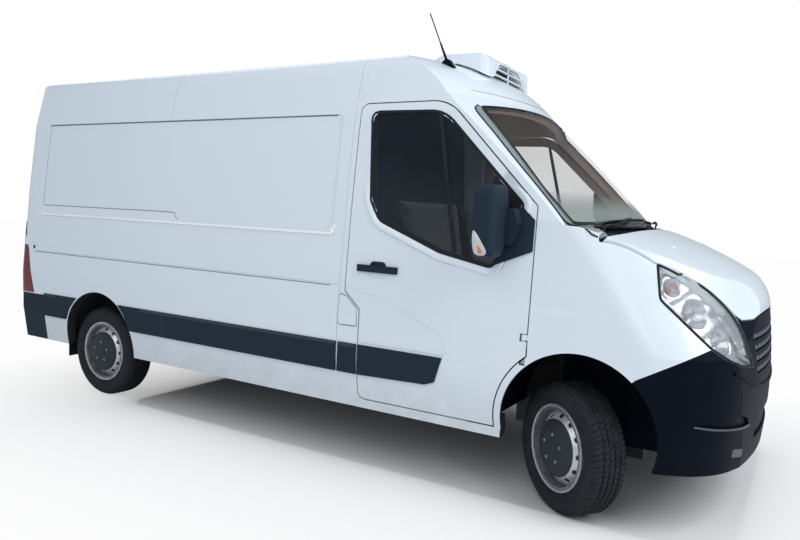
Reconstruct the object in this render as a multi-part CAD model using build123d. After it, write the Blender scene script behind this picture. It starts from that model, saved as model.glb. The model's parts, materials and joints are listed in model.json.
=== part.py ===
from build123d import *
from math import cos, radians, sin, sqrt
import os

# Refrigerated panel van. Millimetres, +X forward, +Y left, +Z up.
# The origin lies on the ground under the middle of the body.

# Driving dimensions
FRONT_OVERHANG = 842.0
WHEELBASE = 3682.0
REAR_OVERHANG = 1024.0
BODY_WIDTH = 2070.0
MIRROR_SPAN = 2470.0
ROOF_Z = 2490.0
SILL_Z = 350.0
TRACK = 1750.0
TYRE_RADIUS = 343.0
TYRE_WIDTH = 215.0
RIM_RADIUS = 215.0
STEER_REST = 38.0
LOAD_WALL = 75.0
CAB_WALL = 55.0
SKIN = 28.0
FLOOR_TOP = 560.0
FLOOR_THICK = 90.0
RAIL_HEIGHT = 70.0
BULKHEAD_THICK = 60.0

# Clearances
DOOR_GAP = 7.0
SEAM = 0.6
FIT = 0.3
TYRE_ROOM = 19.0

# Depths of the pressings, panel joints and soft creases in the outer skin
PRESS_DEPTH = 8.0
JOINT_DEPTH = 4.0
JOINT_WIDE = 5.0
CREASE_DEPTH = 3.0
SLOT_DEPTH = 14.0

# Positions that follow from the driving dimensions
LENGTH = FRONT_OVERHANG + WHEELBASE + REAR_OVERHANG
FRONT_X = LENGTH / 2
REAR_X = -LENGTH / 2
FRONT_AXLE_X = FRONT_X - FRONT_OVERHANG
REAR_AXLE_X = REAR_X + REAR_OVERHANG
HALF = BODY_WIDTH / 2
WHEEL_Y = TRACK / 2
REAR_FACE_X = REAR_X + 20
SPIN_X = FRONT_X - 3274
DOOR_REAR_X = FRONT_AXLE_X - 1384
BULKHEAD_X = DOOR_REAR_X - 170
FLOOR_UNDER = FLOOR_TOP - FLOOR_THICK
RAIL_UNDER = FLOOR_UNDER - RAIL_HEIGHT
ROOF_SEAM_Y = HALF - 245
RIGHT = -1
LEFT = 1


def block(x0, x1, y0, y1, z0, z1):
    """Box between two corners."""
    return Pos((x0 + x1) / 2, (y0 + y1) / 2, (z0 + z1) / 2) * Box(abs(x1 - x0), abs(y1 - y0), abs(z1 - z0))


def bar_y(x, z, radius, y0, y1):
    """Round bar along Y."""
    return Pos(x, (y0 + y1) / 2, z) * Rot(90, 0, 0) * Cylinder(radius, abs(y1 - y0))


def bar_z(x, y, radius, z0, z1):
    """Round bar along Z."""
    return Pos(x, y, (z0 + z1) / 2) * Cylinder(radius, abs(z1 - z0))


def rounded(rows):
    """Flat face through (across, up, corner radius) rows, in local coordinates."""
    face = make_face(Polyline(*[(a, b) for a, b, r in rows], close=True))
    for a, b, r in rows:
        if r > 0:
            corner = face.vertices().sort_by_distance(Vector(a, b, 0))[0]
            face = fillet(corner, r)
    return face


def side_prism(face, y0, y1):
    """Side-view face pushed along Y from y0 to y1."""
    start = Plane(origin=(0, max(y0, y1), 0), x_dir=(1, 0, 0), z_dir=(0, -1, 0))
    return extrude(start * face, amount=abs(y1 - y0))


def ahead_prism(face, x0, x1):
    """Front-view face pushed along X from x0 to x1."""
    start = Plane(origin=(x0, 0, 0), x_dir=(0, 1, 0), z_dir=(1, 0, 0))
    return extrude(start * face, amount=x1 - x0)


def on_side(face, side, y0=0.0):
    """Side-view face pushed from y0 out past one flank."""
    return side_prism(face, side * y0, side * (HALF + 300))


def body_section(inset, foot):
    """Cross-section of the flanks and roof, moved in by inset."""
    half = HALF - inset
    eave = (half - 197, ROOF_Z - 35 - inset)
    rows = [(half - 50, foot), (half - 2, 620), (half - 13, 1073), (half - 50, 1560), (half - 109, 2096)]
    left = [ThreePointArc(*rows[0:3]), ThreePointArc(*rows[2:5]), Line(rows[4], eave)]
    flip = [(-y, z) for y, z in rows]
    right = [ThreePointArc(*flip[0:3]), ThreePointArc(*flip[2:5]), Line(flip[4], (-eave[0], eave[1]))]
    crown = ThreePointArc(eave, (0, ROOF_Z - inset), (-eave[0], eave[1]))
    face = make_face(left + right + [crown, Line(rows[0], flip[0])])
    for y in (eave[0], -eave[0]):
        corner = face.vertices().sort_by_distance(Vector(y, eave[1], 0))[0]
        face = fillet(corner, 130 - 0.8 * inset)
    return face


def moved_in(points, inset):
    """Profile points moved by inset to the left of their run, mitred at each point."""
    moved = []
    for i, (x, z) in enumerate(points):
        before = Vector(x, z) - Vector(*points[max(i - 1, 0)])
        after = Vector(*points[min(i + 1, len(points) - 1)]) - Vector(x, z)
        run = [v.normalized() for v in (before, after) if v.length > 0]
        mean = (run[0] + run[-1]).normalized()
        reach = inset / mean.dot(run[0])
        moved.append((x - mean.Y * reach, z + mean.X * reach))
    return moved


def nose_cutter(inset):
    """Everything ahead of the centre-line profile, swung about an upright axis in the load space."""
    rows = [
        (-45, 150), (0, 640), (-30, 1060), (-62, 1185), (-140, 1268), (-384, 1392), (-654, 1492),
        (-734, 1497), (-1077, ROOF_Z - 629), (-1439, ROOF_Z - 285), (-1594, ROOF_Z - 138),
        (-1844, ROOF_Z - 20),
    ]
    p = moved_in([(FRONT_X + x, z) for x, z in rows], inset)
    back = FRONT_X - 2274
    ahead = FRONT_X + 800
    edges = [
        ThreePointArc(*p[0:3]), ThreePointArc(*p[2:5]), ThreePointArc(*p[4:7]), Line(p[6], p[7]),
        ThreePointArc(*p[7:10]), ThreePointArc(*p[9:12]),
        Polyline(p[11], (back, ROOF_Z + 40 - inset), (back, 3000), (ahead, 3000)),
        Polyline((ahead, 3000), (ahead, 100), (p[0][0], 100), p[0]),
    ]
    face = make_face(edges)
    swung = revolve(Plane.XZ * face, Axis((SPIN_X, 0, 0), (0, 0, 1)), revolution_arc=140)
    return Pos(SPIN_X, 0, 0) * Rot(0, 0, -70) * Pos(-SPIN_X, 0, 0) * swung


# Rounded plan corners: height, half width less HALF, setback of the corner centre from the nose, radius
CORNERS = [
    (100, -75, 534, 430), (600, 0, 512, 450), (900, 1, 512, 450), (1100, -14, 664, 540),
    (1500, -45, 924, 700), (1570, -49, 500, 450), (2096, -107, 500, 450), (2460, -195, 500, 450),
    (2700, -250, 500, 450),
]
REAR_CORNER = 70.0


def plan_outline(inset):
    """Ruled stack of plan outlines that rounds the four corners of the body."""
    faces = []
    turn = radians(70)
    for z, less, setback, radius in CORNERS:
        w = HALF + less - inset
        r = radius - inset
        rr = max(REAR_CORNER - inset, 5)
        xr = REAR_FACE_X + inset
        xc = FRONT_X - setback
        end = (xc + r * sin(turn), w - r * (1 - cos(turn)))
        tip = (end[0] + 400 * cos(turn), end[1] - 400 * sin(turn))
        mid = (xc + r * sin(turn / 2), w - r * (1 - cos(turn / 2)))
        k = rr * (1 - sqrt(0.5))
        edges = []
        for s in (LEFT, RIGHT):
            edges += [
                ThreePointArc((xr, s * (w - rr)), (xr + k, s * (w - k)), (xr + rr, s * w)),
                Line((xr + rr, s * w), (xc, s * w)),
                ThreePointArc((xc, s * w), (mid[0], s * mid[1]), (end[0], s * end[1])),
                Line((end[0], s * end[1]), (tip[0], s * tip[1])),
            ]
        edges += [Line((xr, w - rr), (xr, rr - w)), Line((tip[0], tip[1]), (tip[0], -tip[1]))]
        faces.append(Pos(0, 0, z) * make_face(edges))
    return loft(faces, ruled=True)


def envelope(inset):
    """Solid body moved in by inset; the inner ones run on down through the underside."""
    foot = 280 if inset <= 0 else 120
    solid = ahead_prism(body_section(inset, foot), REAR_FACE_X - 50, FRONT_X + 200)
    return (solid - nose_cutter(inset)) & plan_outline(inset)


OUTER = envelope(0)
OUTSET = envelope(-FIT)
GLASS_OUT = envelope(4)
GLASS_IN = envelope(10)
PRESSED = OUTER - envelope(PRESS_DEPTH)
GROOVED = OUTER - envelope(JOINT_DEPTH)
CREASED = OUTER - envelope(CREASE_DEPTH)
SLOTTED = OUTER - envelope(SLOT_DEPTH)
SKIN_IN = envelope(SKIN)
CAB_IN = envelope(CAB_WALL)
LOAD_IN = envelope(LOAD_WALL)
SKIN_SHELL = OUTER - SKIN_IN
CAB_SHELL = OUTER - CAB_IN
LOAD_SHELL = OUTER - LOAD_IN
GLASS_SHELL = GLASS_OUT - GLASS_IN
LINING = envelope(LOAD_WALL + FIT)
CAB_LINING = envelope(CAB_WALL + FIT)
SKIN_LINING = envelope(SKIN + FIT)

nodes = {}

# Wheel arches: centre and radius of the openings
ARCH_F = (FRONT_AXLE_X + 40, 465, 400)
ARCH_R = (REAR_AXLE_X, 410, 395)
arch_cut = bar_y(ARCH_F[0], ARCH_F[1], ARCH_F[2], -HALF - 100, HALF + 100)
arch_cut += bar_y(ARCH_R[0], ARCH_R[1], ARCH_R[2], -HALF - 100, HALF + 100)
arch_cut += bar_y(FRONT_AXLE_X, TYRE_RADIUS, TYRE_RADIUS + TYRE_ROOM, -HALF - 100, HALF + 100)

# Cab door: outline seen from the side, and the opening around it
DOOR_Z = 410.0
DOOR_TOP = 2155.0
DOOR_FRONT_X = FRONT_AXLE_X - 228
door_arch = ARCH_F[2] + 43
DOOR_ROWS = [
    (DOOR_REAR_X, DOOR_TOP, 45), (FRONT_AXLE_X - 807, DOOR_TOP, 260), (DOOR_FRONT_X - 8, 1587, 25),
    (DOOR_FRONT_X, DOOR_Z, 0), (DOOR_REAR_X + 114, DOOR_Z, 45),
    (DOOR_REAR_X + 114, 945, 30), (DOOR_REAR_X, 1045, 30),
]


def door_face(grow):
    """Door outline grown by a clearance, hollowed along the front arch."""
    face = rounded(DOOR_ROWS)
    if grow > 0:
        face = offset(face, amount=grow, kind=Kind.INTERSECTION)
    return face - Pos(ARCH_F[0], ARCH_F[1]) * Circle(door_arch - grow)


WINDOW_ROWS = [
    (DOOR_REAR_X + 88, 2098, 40), (FRONT_AXLE_X - 830, 2090, 220), (FRONT_AXLE_X - 318, 1589, 20),
    (FRONT_AXLE_X - 460, 1262, 30), (FRONT_AXLE_X - 772, 1322, 150), (DOOR_REAR_X + 205, 1478, 90),
    (DOOR_REAR_X + 138, 1590, 60),
]
window_open = rounded(WINDOW_ROWS)
window_pane = offset(window_open, amount=-FIT, kind=Kind.INTERSECTION)
door_open = door_face(DOOR_GAP)
door_plate = door_face(0)

# Windscreen: outline on a plane square to the glass, (across, up the slope)
SCREEN_PLANE = Plane(origin=(FRONT_X - 1087, 0, ROOF_Z - 639), x_dir=(0, 1, 0), z_dir=(1, 0, 1))


def screen_face(shrink):
    """Windscreen outline moved in by shrink."""
    top = (HALF - 260, 530)
    waist = (HALF - 122, -110)
    foot = (HALF - 118, -390)
    top_r, waist_r, foot_r = [(-a, b) for a, b in (top, waist, foot)]
    edges = [ThreePointArc(top_r, (0, 482), top), ThreePointArc(foot_r, (0, -497), foot)]
    edges += [Polyline(top, waist, foot), Polyline(top_r, waist_r, foot_r)]
    face = make_face(edges)
    for a, b in (top, foot, top_r, foot_r):
        corner = face.vertices().sort_by_distance(Vector(a, b, 0))[0]
        face = fillet(corner, 55)
    return offset(face, amount=-shrink, kind=Kind.INTERSECTION) if shrink > 0 else face


def screen_prism(shrink):
    """Windscreen outline pushed both ways through the glass."""
    return extrude(SCREEN_PLANE * screen_face(shrink), amount=260, both=True)


screen_open = screen_prism(0)

# Bonnet: outline on a plane that tips forward, (across, back)
BONNET_TILT = 40.0
BONNET_PLANE = Plane(
    origin=(FRONT_X, 0, 0), x_dir=(0, 1, 0), z_dir=(sin(radians(BONNET_TILT)), 0, cos(radians(BONNET_TILT)))
)
BONNET_ROWS = [
    (0, 724), (483, 745), (600, 780), (654, 829), (723, 920), (826, 1085), (910, 1238), (975, 1480),
    (741, 1467), (0, 1459),
]


def bonnet_prism(grow):
    """Bonnet outline grown by a clearance and pushed through the skin."""
    rows = [(y, b) for y, b in BONNET_ROWS[1:-1]]
    loop = BONNET_ROWS[0:1] + rows + BONNET_ROWS[-1:] + [(-y, b) for y, b in reversed(rows)]
    face = make_face(Polyline(*loop, close=True))
    if grow > 0:
        face = offset(face, amount=grow, kind=Kind.INTERSECTION)
    return extrude(BONNET_PLANE * face, amount=3200)


bonnet_open = bonnet_prism(DOOR_GAP)

# Headlamp outline seen from the side, back from the nose: an arc above, straight runs and a corner below
LAMP_ARC = [(-489, 1339), (-215, 1175), (-52, 831)]
LAMP_LOWER = [(-217, 948), (-455, 1165)]
LAMP_CORNER = 60.0
lamp_arc = [(FRONT_X + x, z) for x, z in LAMP_ARC]
lamp_lower = [(FRONT_X + x, z) for x, z in LAMP_LOWER]
lamp_face = make_face([ThreePointArc(*lamp_arc), Polyline(lamp_arc[2], *lamp_lower, lamp_arc[0])])
lamp_face = fillet(lamp_face.vertices().sort_by_distance(Vector(*lamp_lower[1]))[0], LAMP_CORNER)
lamp_hole = offset(lamp_face, amount=SEAM, kind=Kind.INTERSECTION)

# Grille outline seen from the front
GRILLE_Z = 765.0
GRILLE_ROWS = [
    (-660, 1100, 0), (-660, 1000, 0), (-600, GRILLE_Z + 80, 0), (-480, GRILLE_Z, 40),
    (480, GRILLE_Z, 40), (600, GRILLE_Z + 80, 0), (660, 1000, 0), (660, 1100, 0),
]
grille_face = rounded(GRILLE_ROWS)
grille_edge = offset(grille_face, amount=SEAM, kind=Kind.INTERSECTION)
grille_hole = ahead_prism(grille_edge, FRONT_X - 300, FRONT_X + 100)
lamp_holes = on_side(lamp_hole, RIGHT, 540) + on_side(lamp_hole, LEFT, 540)

# Rear doorway
REAR_DOOR_Y = HALF - 215
REAR_DOOR_Z = FLOOR_TOP + 15
REAR_DOOR_TOP = ROOF_Z - 145
REAR_WALL_X = REAR_FACE_X + LOAD_WALL
GATE_Y = REAR_DOOR_Y + DOOR_GAP
doorway = block(REAR_X - 100, REAR_WALL_X + 1, -GATE_Y, GATE_Y, 0, REAR_DOOR_TOP + DOOR_GAP)
rear_gate = block(REAR_X - 100, REAR_WALL_X + 1, -GATE_Y, GATE_Y, 0, 3000)

# Pressings and panel joints of the flanks, as side-view faces: x, height, corner radius
PRESS_Z = 1385.0
PRESS_TOP = 2100.0
LEDGE = 60.0
PRESS_REAR_X = REAR_X + 259
PRESS_FRONT_X = DOOR_REAR_X - 128
LEDGE_X = FRONT_AXLE_X - 2942
SLIDE_REAR_X = DOOR_REAR_X - 1390
SLIDE_FRONT_X = DOOR_REAR_X - 110
RIGHT_PRESS = [
    (PRESS_REAR_X, PRESS_Z + LEDGE, 12), (LEDGE_X, PRESS_Z + LEDGE, 30), (LEDGE_X + 70, PRESS_Z, 30),
    (PRESS_FRONT_X, PRESS_Z, 45), (PRESS_FRONT_X, PRESS_TOP, 45), (PRESS_REAR_X, PRESS_TOP, 12),
]


def plate_face(x0, x1, z0, z1, radius):
    """Side-view rectangle with rounded corners."""
    return rounded([(x0, z0, radius), (x1, z0, radius), (x1, z1, radius), (x0, z1, radius)])


ledge_face = plate_face(PRESS_REAR_X, LEDGE_X + 40, PRESS_Z, PRESS_TOP - 20, 12)
left_face = plate_face(PRESS_REAR_X, SLIDE_REAR_X - 60, PRESS_Z, PRESS_TOP, 45)
inner_face = plate_face(SLIDE_REAR_X + 60, SLIDE_FRONT_X - 60, PRESS_Z, PRESS_TOP - 80, 45)
right_press = PRESSED & on_side(rounded(RIGHT_PRESS), RIGHT, 600)
right_press += GROOVED & on_side(ledge_face, RIGHT, 600)
left_press = PRESSED & on_side(left_face, LEFT, 600)
slide_press = PRESSED & on_side(inner_face, LEFT, 600)

# Panel joints: x and z range of each groove, the last one over the roof as well
WAIST_JOINT = 1073.0
ROOF_JOINT_X = FRONT_AXLE_X - 3032
POST_JOINT_X = DOOR_REAR_X - 45
JOINTS = [
    (REAR_X + 217, POST_JOINT_X, WAIST_JOINT, WAIST_JOINT + JOINT_WIDE),
    (POST_JOINT_X, POST_JOINT_X + JOINT_WIDE, 560, 2440),
    (ROOF_JOINT_X, ROOF_JOINT_X + JOINT_WIDE, 1900, 2800),
]
joint_bars = [block(x0, x1, -HALF - 50, HALF + 50, z0, z1) for x0, x1, z0, z1 in JOINTS]
panel_joints = GROOVED & (joint_bars[0] + joint_bars[1:])

# Roof of the load space, with the header over the rear doors
roof_zone = block(REAR_X, DOOR_REAR_X - DOOR_GAP, -ROOF_SEAM_Y, ROOF_SEAM_Y, ROOF_Z - 190, 2800)
header_zone = block(REAR_X, REAR_WALL_X + 1, -GATE_Y, GATE_Y, ROOF_Z - 190, 2800)
RIBS = 5
RIB_PITCH = 560.0
RIB_WIDE = 170.0
ribs = []
for k in range(RIBS):
    x = REAR_X + 300 + RIB_PITCH * k
    ribs.append(block(x, x + RIB_WIDE, 140 - ROOF_SEAM_Y, ROOF_SEAM_Y - 140, ROOF_Z - 190, 2800))
roof = (LOAD_SHELL & (roof_zone + header_zone)) - doorway
nodes["roof"] = roof - panel_joints - (PRESSED & (ribs[0] + ribs[1:]))

# Fuel filler flap, only on the right flank
FLAP_ROWS = [
    (DOOR_REAR_X - 35, 1022, 12), (DOOR_REAR_X + 18, 1008, 12), (DOOR_REAR_X + 88, 945, 12),
    (DOOR_REAR_X + 98, 842, 12), (DOOR_REAR_X - 35, 842, 12),
]
flap_face = rounded(FLAP_ROWS)
FLAP_PIN = (DOOR_REAR_X - 27, -HALF + 6)
flap_pocket = side_prism(offset(flap_face, amount=5.5, kind=Kind.INTERSECTION), -HALF - 50, -HALF + 48)
flap_holes = bar_z(FLAP_PIN[0], FLAP_PIN[1], 3 + FIT, 828, 1036)
flap = (OUTER - GLASS_IN) & on_side(flap_face, RIGHT)
nodes["fuel_flap"] = flap + bar_z(FLAP_PIN[0], FLAP_PIN[1], 3, 832, 1032)

# Rear bumper with its wrapped corners, and the tail lamps above them
BUMPER_TOP = 720.0
LAMP_TOP = 1295.0
LAMP_Y = HALF - 95
LAMP_DEPTH = 55.0
WRAP_X = REAR_X + 355
bumper_wrap = block(REAR_X - 10, WRAP_X, -HALF - 50, HALF + 50, 0, BUMPER_TOP)
bumper = LOAD_SHELL & block(REAR_X - 10, WRAP_X - SEAM, -HALF - 50, HALF + 50, SILL_Z, BUMPER_TOP - SEAM)
bumper -= block(REAR_X - 10, REAR_WALL_X + 1, -GATE_Y, GATE_Y, REAR_DOOR_Z - DOOR_GAP, 900) + arch_cut
nodes["rear_bumper"] = bumper + block(REAR_X, REAR_FACE_X + 30, -700, 700, 420, REAR_DOOR_Z - 30)

# Flanks of the load body, each with its corner post, sill and door post
PANEL_ROWS = [
    (REAR_X, SILL_Z, 0), (FRONT_AXLE_X - 200, SILL_Z, 0), (FRONT_AXLE_X - 200, DOOR_Z + 60, 0),
    (DOOR_REAR_X + 250, DOOR_Z + 60, 0), (DOOR_REAR_X + 250, 1045, 0), (DOOR_REAR_X - DOOR_GAP, 1300, 0),
    (DOOR_REAR_X - DOOR_GAP, 2800, 0), (REAR_X, 2800, 0),
]
panel_face = rounded(PANEL_ROWS)
for side, tag in ((RIGHT, "right"), (LEFT, "left")):
    panel = LOAD_SHELL & on_side(panel_face, side)
    panel -= roof_zone + header_zone + rear_gate + arch_cut
    panel -= on_side(door_open, side) + bumper_wrap
    lamp_x = REAR_FACE_X + LAMP_DEPTH
    panel -= block(REAR_X, lamp_x + SEAM, side * (LAMP_Y - SEAM), side * (HALF + 50), 0, LAMP_TOP + SEAM)
    nodes["side_panel_" + tag] = panel
    lamp = block(REAR_X, lamp_x, side * LAMP_Y, side * (HALF + 50), BUMPER_TOP + SEAM, LAMP_TOP)
    nodes["tail_lamp_" + tag] = LOAD_SHELL & lamp
    nodes["side_panel_" + tag] -= panel_joints
nodes["side_panel_right"] -= flap_pocket + flap_holes + right_press

# Sliding door in the left flank, shut
slide_face = plate_face(SLIDE_REAR_X, SLIDE_FRONT_X, 470, 2085, 60)
nodes["sliding_door"] = (nodes["side_panel_left"] & on_side(slide_face, LEFT)) - slide_press
nodes["side_panel_left"] -= on_side(offset(slide_face, amount=SEAM, kind=Kind.INTERSECTION), LEFT)
nodes["side_panel_left"] -= left_press

# Cab roof with the windscreen header and pillars
CAB_ROWS = [
    (DOOR_REAR_X - DOOR_GAP + SEAM, 2040, 0), (DOOR_REAR_X - DOOR_GAP + SEAM, 2800, 0),
    (FRONT_AXLE_X, 2800, 0), (FRONT_AXLE_X + 150, 1812, 0), (FRONT_AXLE_X - 242, 1586, 0),
    (FRONT_AXLE_X - 300, 1600, 0),
]
cab_face = rounded(CAB_ROWS)
cab_zone = side_prism(cab_face, -HALF - 100, HALF + 100)
door_opens = on_side(door_open, RIGHT, 600) + on_side(door_open, LEFT, 600)
CAP_JOINT = ROOF_Z - 247
cap_joint = GROOVED & block(FRONT_AXLE_X - 900, FRONT_AXLE_X, -710, 710, CAP_JOINT, CAP_JOINT + JOINT_WIDE)
nodes["cab_roof"] = (CAB_SHELL & cab_zone) - door_opens - screen_open - cap_joint
nodes["windscreen"] = GLASS_SHELL & screen_prism(FIT)

# Wings, bonnet, cowl, lamps, grille and front bumper share the nose skin
BUMPER_ROWS = [
    (-600, SILL_Z - 20), (-600, 700), (-518, 780), (-414, 839), (-294, 906), (-217, 948),
    (-150, 1085), (150, 1085), (150, SILL_Z - 20),
]
bumper_zone = side_prism(rounded([(FRONT_X + x, z, 0) for x, z in BUMPER_ROWS]), -HALF - 100, HALF + 100)
WING_ROWS = [
    (DOOR_FRONT_X - 240, SILL_Z), (DOOR_FRONT_X - 240, DOOR_Z + 60), (FRONT_AXLE_X - 300, 1586),
    (FRONT_AXLE_X - 242, 1586), (FRONT_AXLE_X + 150, 1812), (FRONT_X, 1400), (FRONT_X, 900),
    (FRONT_X - 300, SILL_Z),
]
wing_face = rounded([(x, z, 0) for x, z in WING_ROWS])

# The cowl lies a step below the bonnet and glass, and fills a notch in each wing behind the bonnet's corner
COWL_DROP = 24.0
COWL_THICK = 20.0
COWL_UNDER_GLASS = 30.0
COWL_TOP = envelope(COWL_DROP)


def cowl_zone(room):
    """Space between the wings for the cowl, made smaller by room at its sides."""
    half = HALF - 130 - room
    zone = block(FRONT_AXLE_X - 200, FRONT_AXLE_X + 260, -half, half, 1300, 1700)
    for side in (RIGHT, LEFT):
        ends = (FRONT_AXLE_X + 88 + room, FRONT_AXLE_X + 150 - room)
        zone += block(*ends, side * (HALF - 140), side * (HALF - 47 - room), 1425 + room, 1700)
    return zone


scuttle = cowl_zone(0)
nose_holes = bonnet_open + screen_open + lamp_holes + grille_hole
sill_zone = side_prism(panel_face, -HALF - 100, HALF + 100)
for side, tag in ((RIGHT, "right"), (LEFT, "left")):
    wing = SKIN_SHELL & on_side(wing_face, side, 500)
    wing -= nose_holes + bumper_zone + arch_cut + scuttle + cab_zone + sill_zone
    wing -= on_side(door_open, side, 500)
    nodes["wing_" + tag] = wing
    nodes["headlamp_" + tag] = (SKIN_SHELL & on_side(lamp_face, side, 540)) - bonnet_open
nodes["bonnet"] = SKIN_SHELL & bonnet_prism(0)
cowl = (COWL_TOP - envelope(COWL_DROP + COWL_THICK)) & cowl_zone(SEAM)
nodes["cowl"] = cowl - bonnet_open - screen_prism(COWL_UNDER_GLASS) - cab_zone
grille = (SKIN_SHELL & ahead_prism(grille_face, FRONT_X - 300, FRONT_X + 100)) - bonnet_open - lamp_holes
SLATS = 4
SLAT_PITCH = 58.0
SLAT_GAP = 36.0
slots = []
for k in range(SLATS):
    z = GRILLE_Z + 25 + SLAT_PITCH * k
    half = 470 + 22 * k
    slots.append(block(FRONT_X - 300, FRONT_X + 100, -half, half, z, z + SLAT_GAP))
nodes["grille"] = grille - (SLOTTED & (slots[0] + slots[1:]))
front_bumper = (SKIN_SHELL & bumper_zone) - nose_holes - arch_cut

# Fog lamp pocket of one side seen from the front, and the air intake between them
FOG_ROWS = [(80, 588), (165, 572), (335, 556), (470, 548), (425, 590), (295, 625), (175, 618)]
for side in (RIGHT, LEFT):
    fog_face = rounded([(side * (HALF - a), z, 0) for a, z in FOG_ROWS])
    front_bumper -= SLOTTED & ahead_prism(fog_face, FRONT_X - 500, FRONT_X + 100)
intake_face = rounded([(-430, 440, 25), (430, 440, 25), (390, 560, 25), (-390, 560, 25)])
nodes["front_bumper"] = front_bumper - (SLOTTED & ahead_prism(intake_face, FRONT_X - 300, FRONT_X + 100))

# Cab doors: hinge pin on the door, eye on the wing
HINGE_X = DOOR_FRONT_X - 20
HINGE_Y = HALF - 9
HINGE_Z = 895.0
EYE_LONG = 30.0
EYE_TOP = HINGE_Z + EYE_LONG
PIN_R = 7.0
EYE_R = 13.0
EYE_ROOM = 8.0
RELIEF_R = 18.0
WAIST_Z = 1190.0
STRIP_Z = 556.0
STRIP_TOP = 735.0
STRIP_PROUD = 8.0
SWAGE_ROWS = [(-60, 1077), (19, 1070), (249, 1028), (590, 896), (687, 836), (681, 748), (-60, 748)]
swage_face = rounded([(DOOR_REAR_X + x, z, 0) for x, z in SWAGE_ROWS])
TRIM_ROWS = [(116, STRIP_Z), (575, STRIP_Z + 15), (631, STRIP_Z + 36), (674, STRIP_TOP), (116, STRIP_TOP)]
trim_face = rounded([(DOOR_REAR_X + x, z, 0) for x, z in TRIM_ROWS])

# Mirror: the head seen from the front (inboard of its outer edge, height, radius),
# and its foot and arm seen from the side (from the door's front edge, height, radius)
MIRROR_X = DOOR_FRONT_X - 254
MIRROR_DEEP = 115.0
HEAD_ROWS = [
    (16, 1683, 55), (0, 1390, 40), (10, 1318, 40), (140, 1315, 45), (212, 1400, 30),
    (212, 1600, 35), (190, 1688, 55),
]
FOOT_ROWS = [(-230, 1262, 10), (-11, 1353, 10), (-12, 1515, 10), (-88, 1586, 10)]
ARM_ROWS = [(-225, 1362, 20), (-110, 1385, 20), (-75, 1500, 25), (-95, 1572, 20), (-225, 1572, 25)]
foot_face = rounded([(DOOR_FRONT_X + x, z, r) for x, z, r in FOOT_ROWS])
mirror_arm = rounded([(DOOR_FRONT_X + x, z, r) for x, z, r in ARM_ROWS])
FOOT_SHELL = envelope(-10) - OUTSET
for side, tag in ((RIGHT, "right"), (LEFT, "left")):
    door = (CAB_SHELL & on_side(door_plate, side, 600)) - on_side(window_open, side, 500)
    door -= CREASED & on_side(swage_face, side, 600)
    clear = EYE_R + EYE_ROOM
    eye_y = side * (HINGE_Y - clear)
    door -= block(HINGE_X - clear, HINGE_X + 70, eye_y, side * (HALF + 50), HINGE_Z - 5, EYE_TOP + 5)
    door += bar_z(HINGE_X, side * HINGE_Y, PIN_R, HINGE_Z - 25, EYE_TOP + 25)
    nodes["cab_door_" + tag] = door
    eye = bar_z(HINGE_X, side * HINGE_Y, EYE_R, HINGE_Z, EYE_TOP)
    lug_x = DOOR_FRONT_X + DOOR_GAP + 20
    eye += block(HINGE_X, lug_x, side * (HINGE_Y - 12), side * (HINGE_Y + 4), HINGE_Z, EYE_TOP)
    wing = nodes["wing_" + tag] - bar_z(HINGE_X, side * HINGE_Y, RELIEF_R, HINGE_Z - 130, HINGE_Z - 1)
    nodes["wing_" + tag] = wing + eye - bar_z(HINGE_X, side * HINGE_Y, PIN_R + FIT, HINGE_Z - 1, EYE_TOP + 1)
    nodes["cab_window_" + tag] = GLASS_SHELL & on_side(window_pane, side, 500)
    head_face = rounded([(side * (MIRROR_SPAN / 2 - a), z, r) for a, z, r in HEAD_ROWS])
    head = ahead_prism(head_face, MIRROR_X, MIRROR_X + MIRROR_DEEP)
    head = fillet(head.faces().sort_by(Axis.X)[-1].edges(), 30)
    arm = side_prism(mirror_arm, side * 900, side * (MIRROR_SPAN / 2 - 160))
    nodes["mirror_" + tag] = (head + arm - OUTSET) + (FOOT_SHELL & on_side(foot_face, side, 600))
    grip_x = DOOR_REAR_X + 82
    grip = block(grip_x, grip_x + 270, side * 900, side * (HALF - 3), WAIST_Z - 22, WAIST_Z + 18)
    strip = side_prism(trim_face, side * 900, side * (HALF + STRIP_PROUD))
    nodes["door_trim_" + tag] = grip + strip - OUTSET

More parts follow.
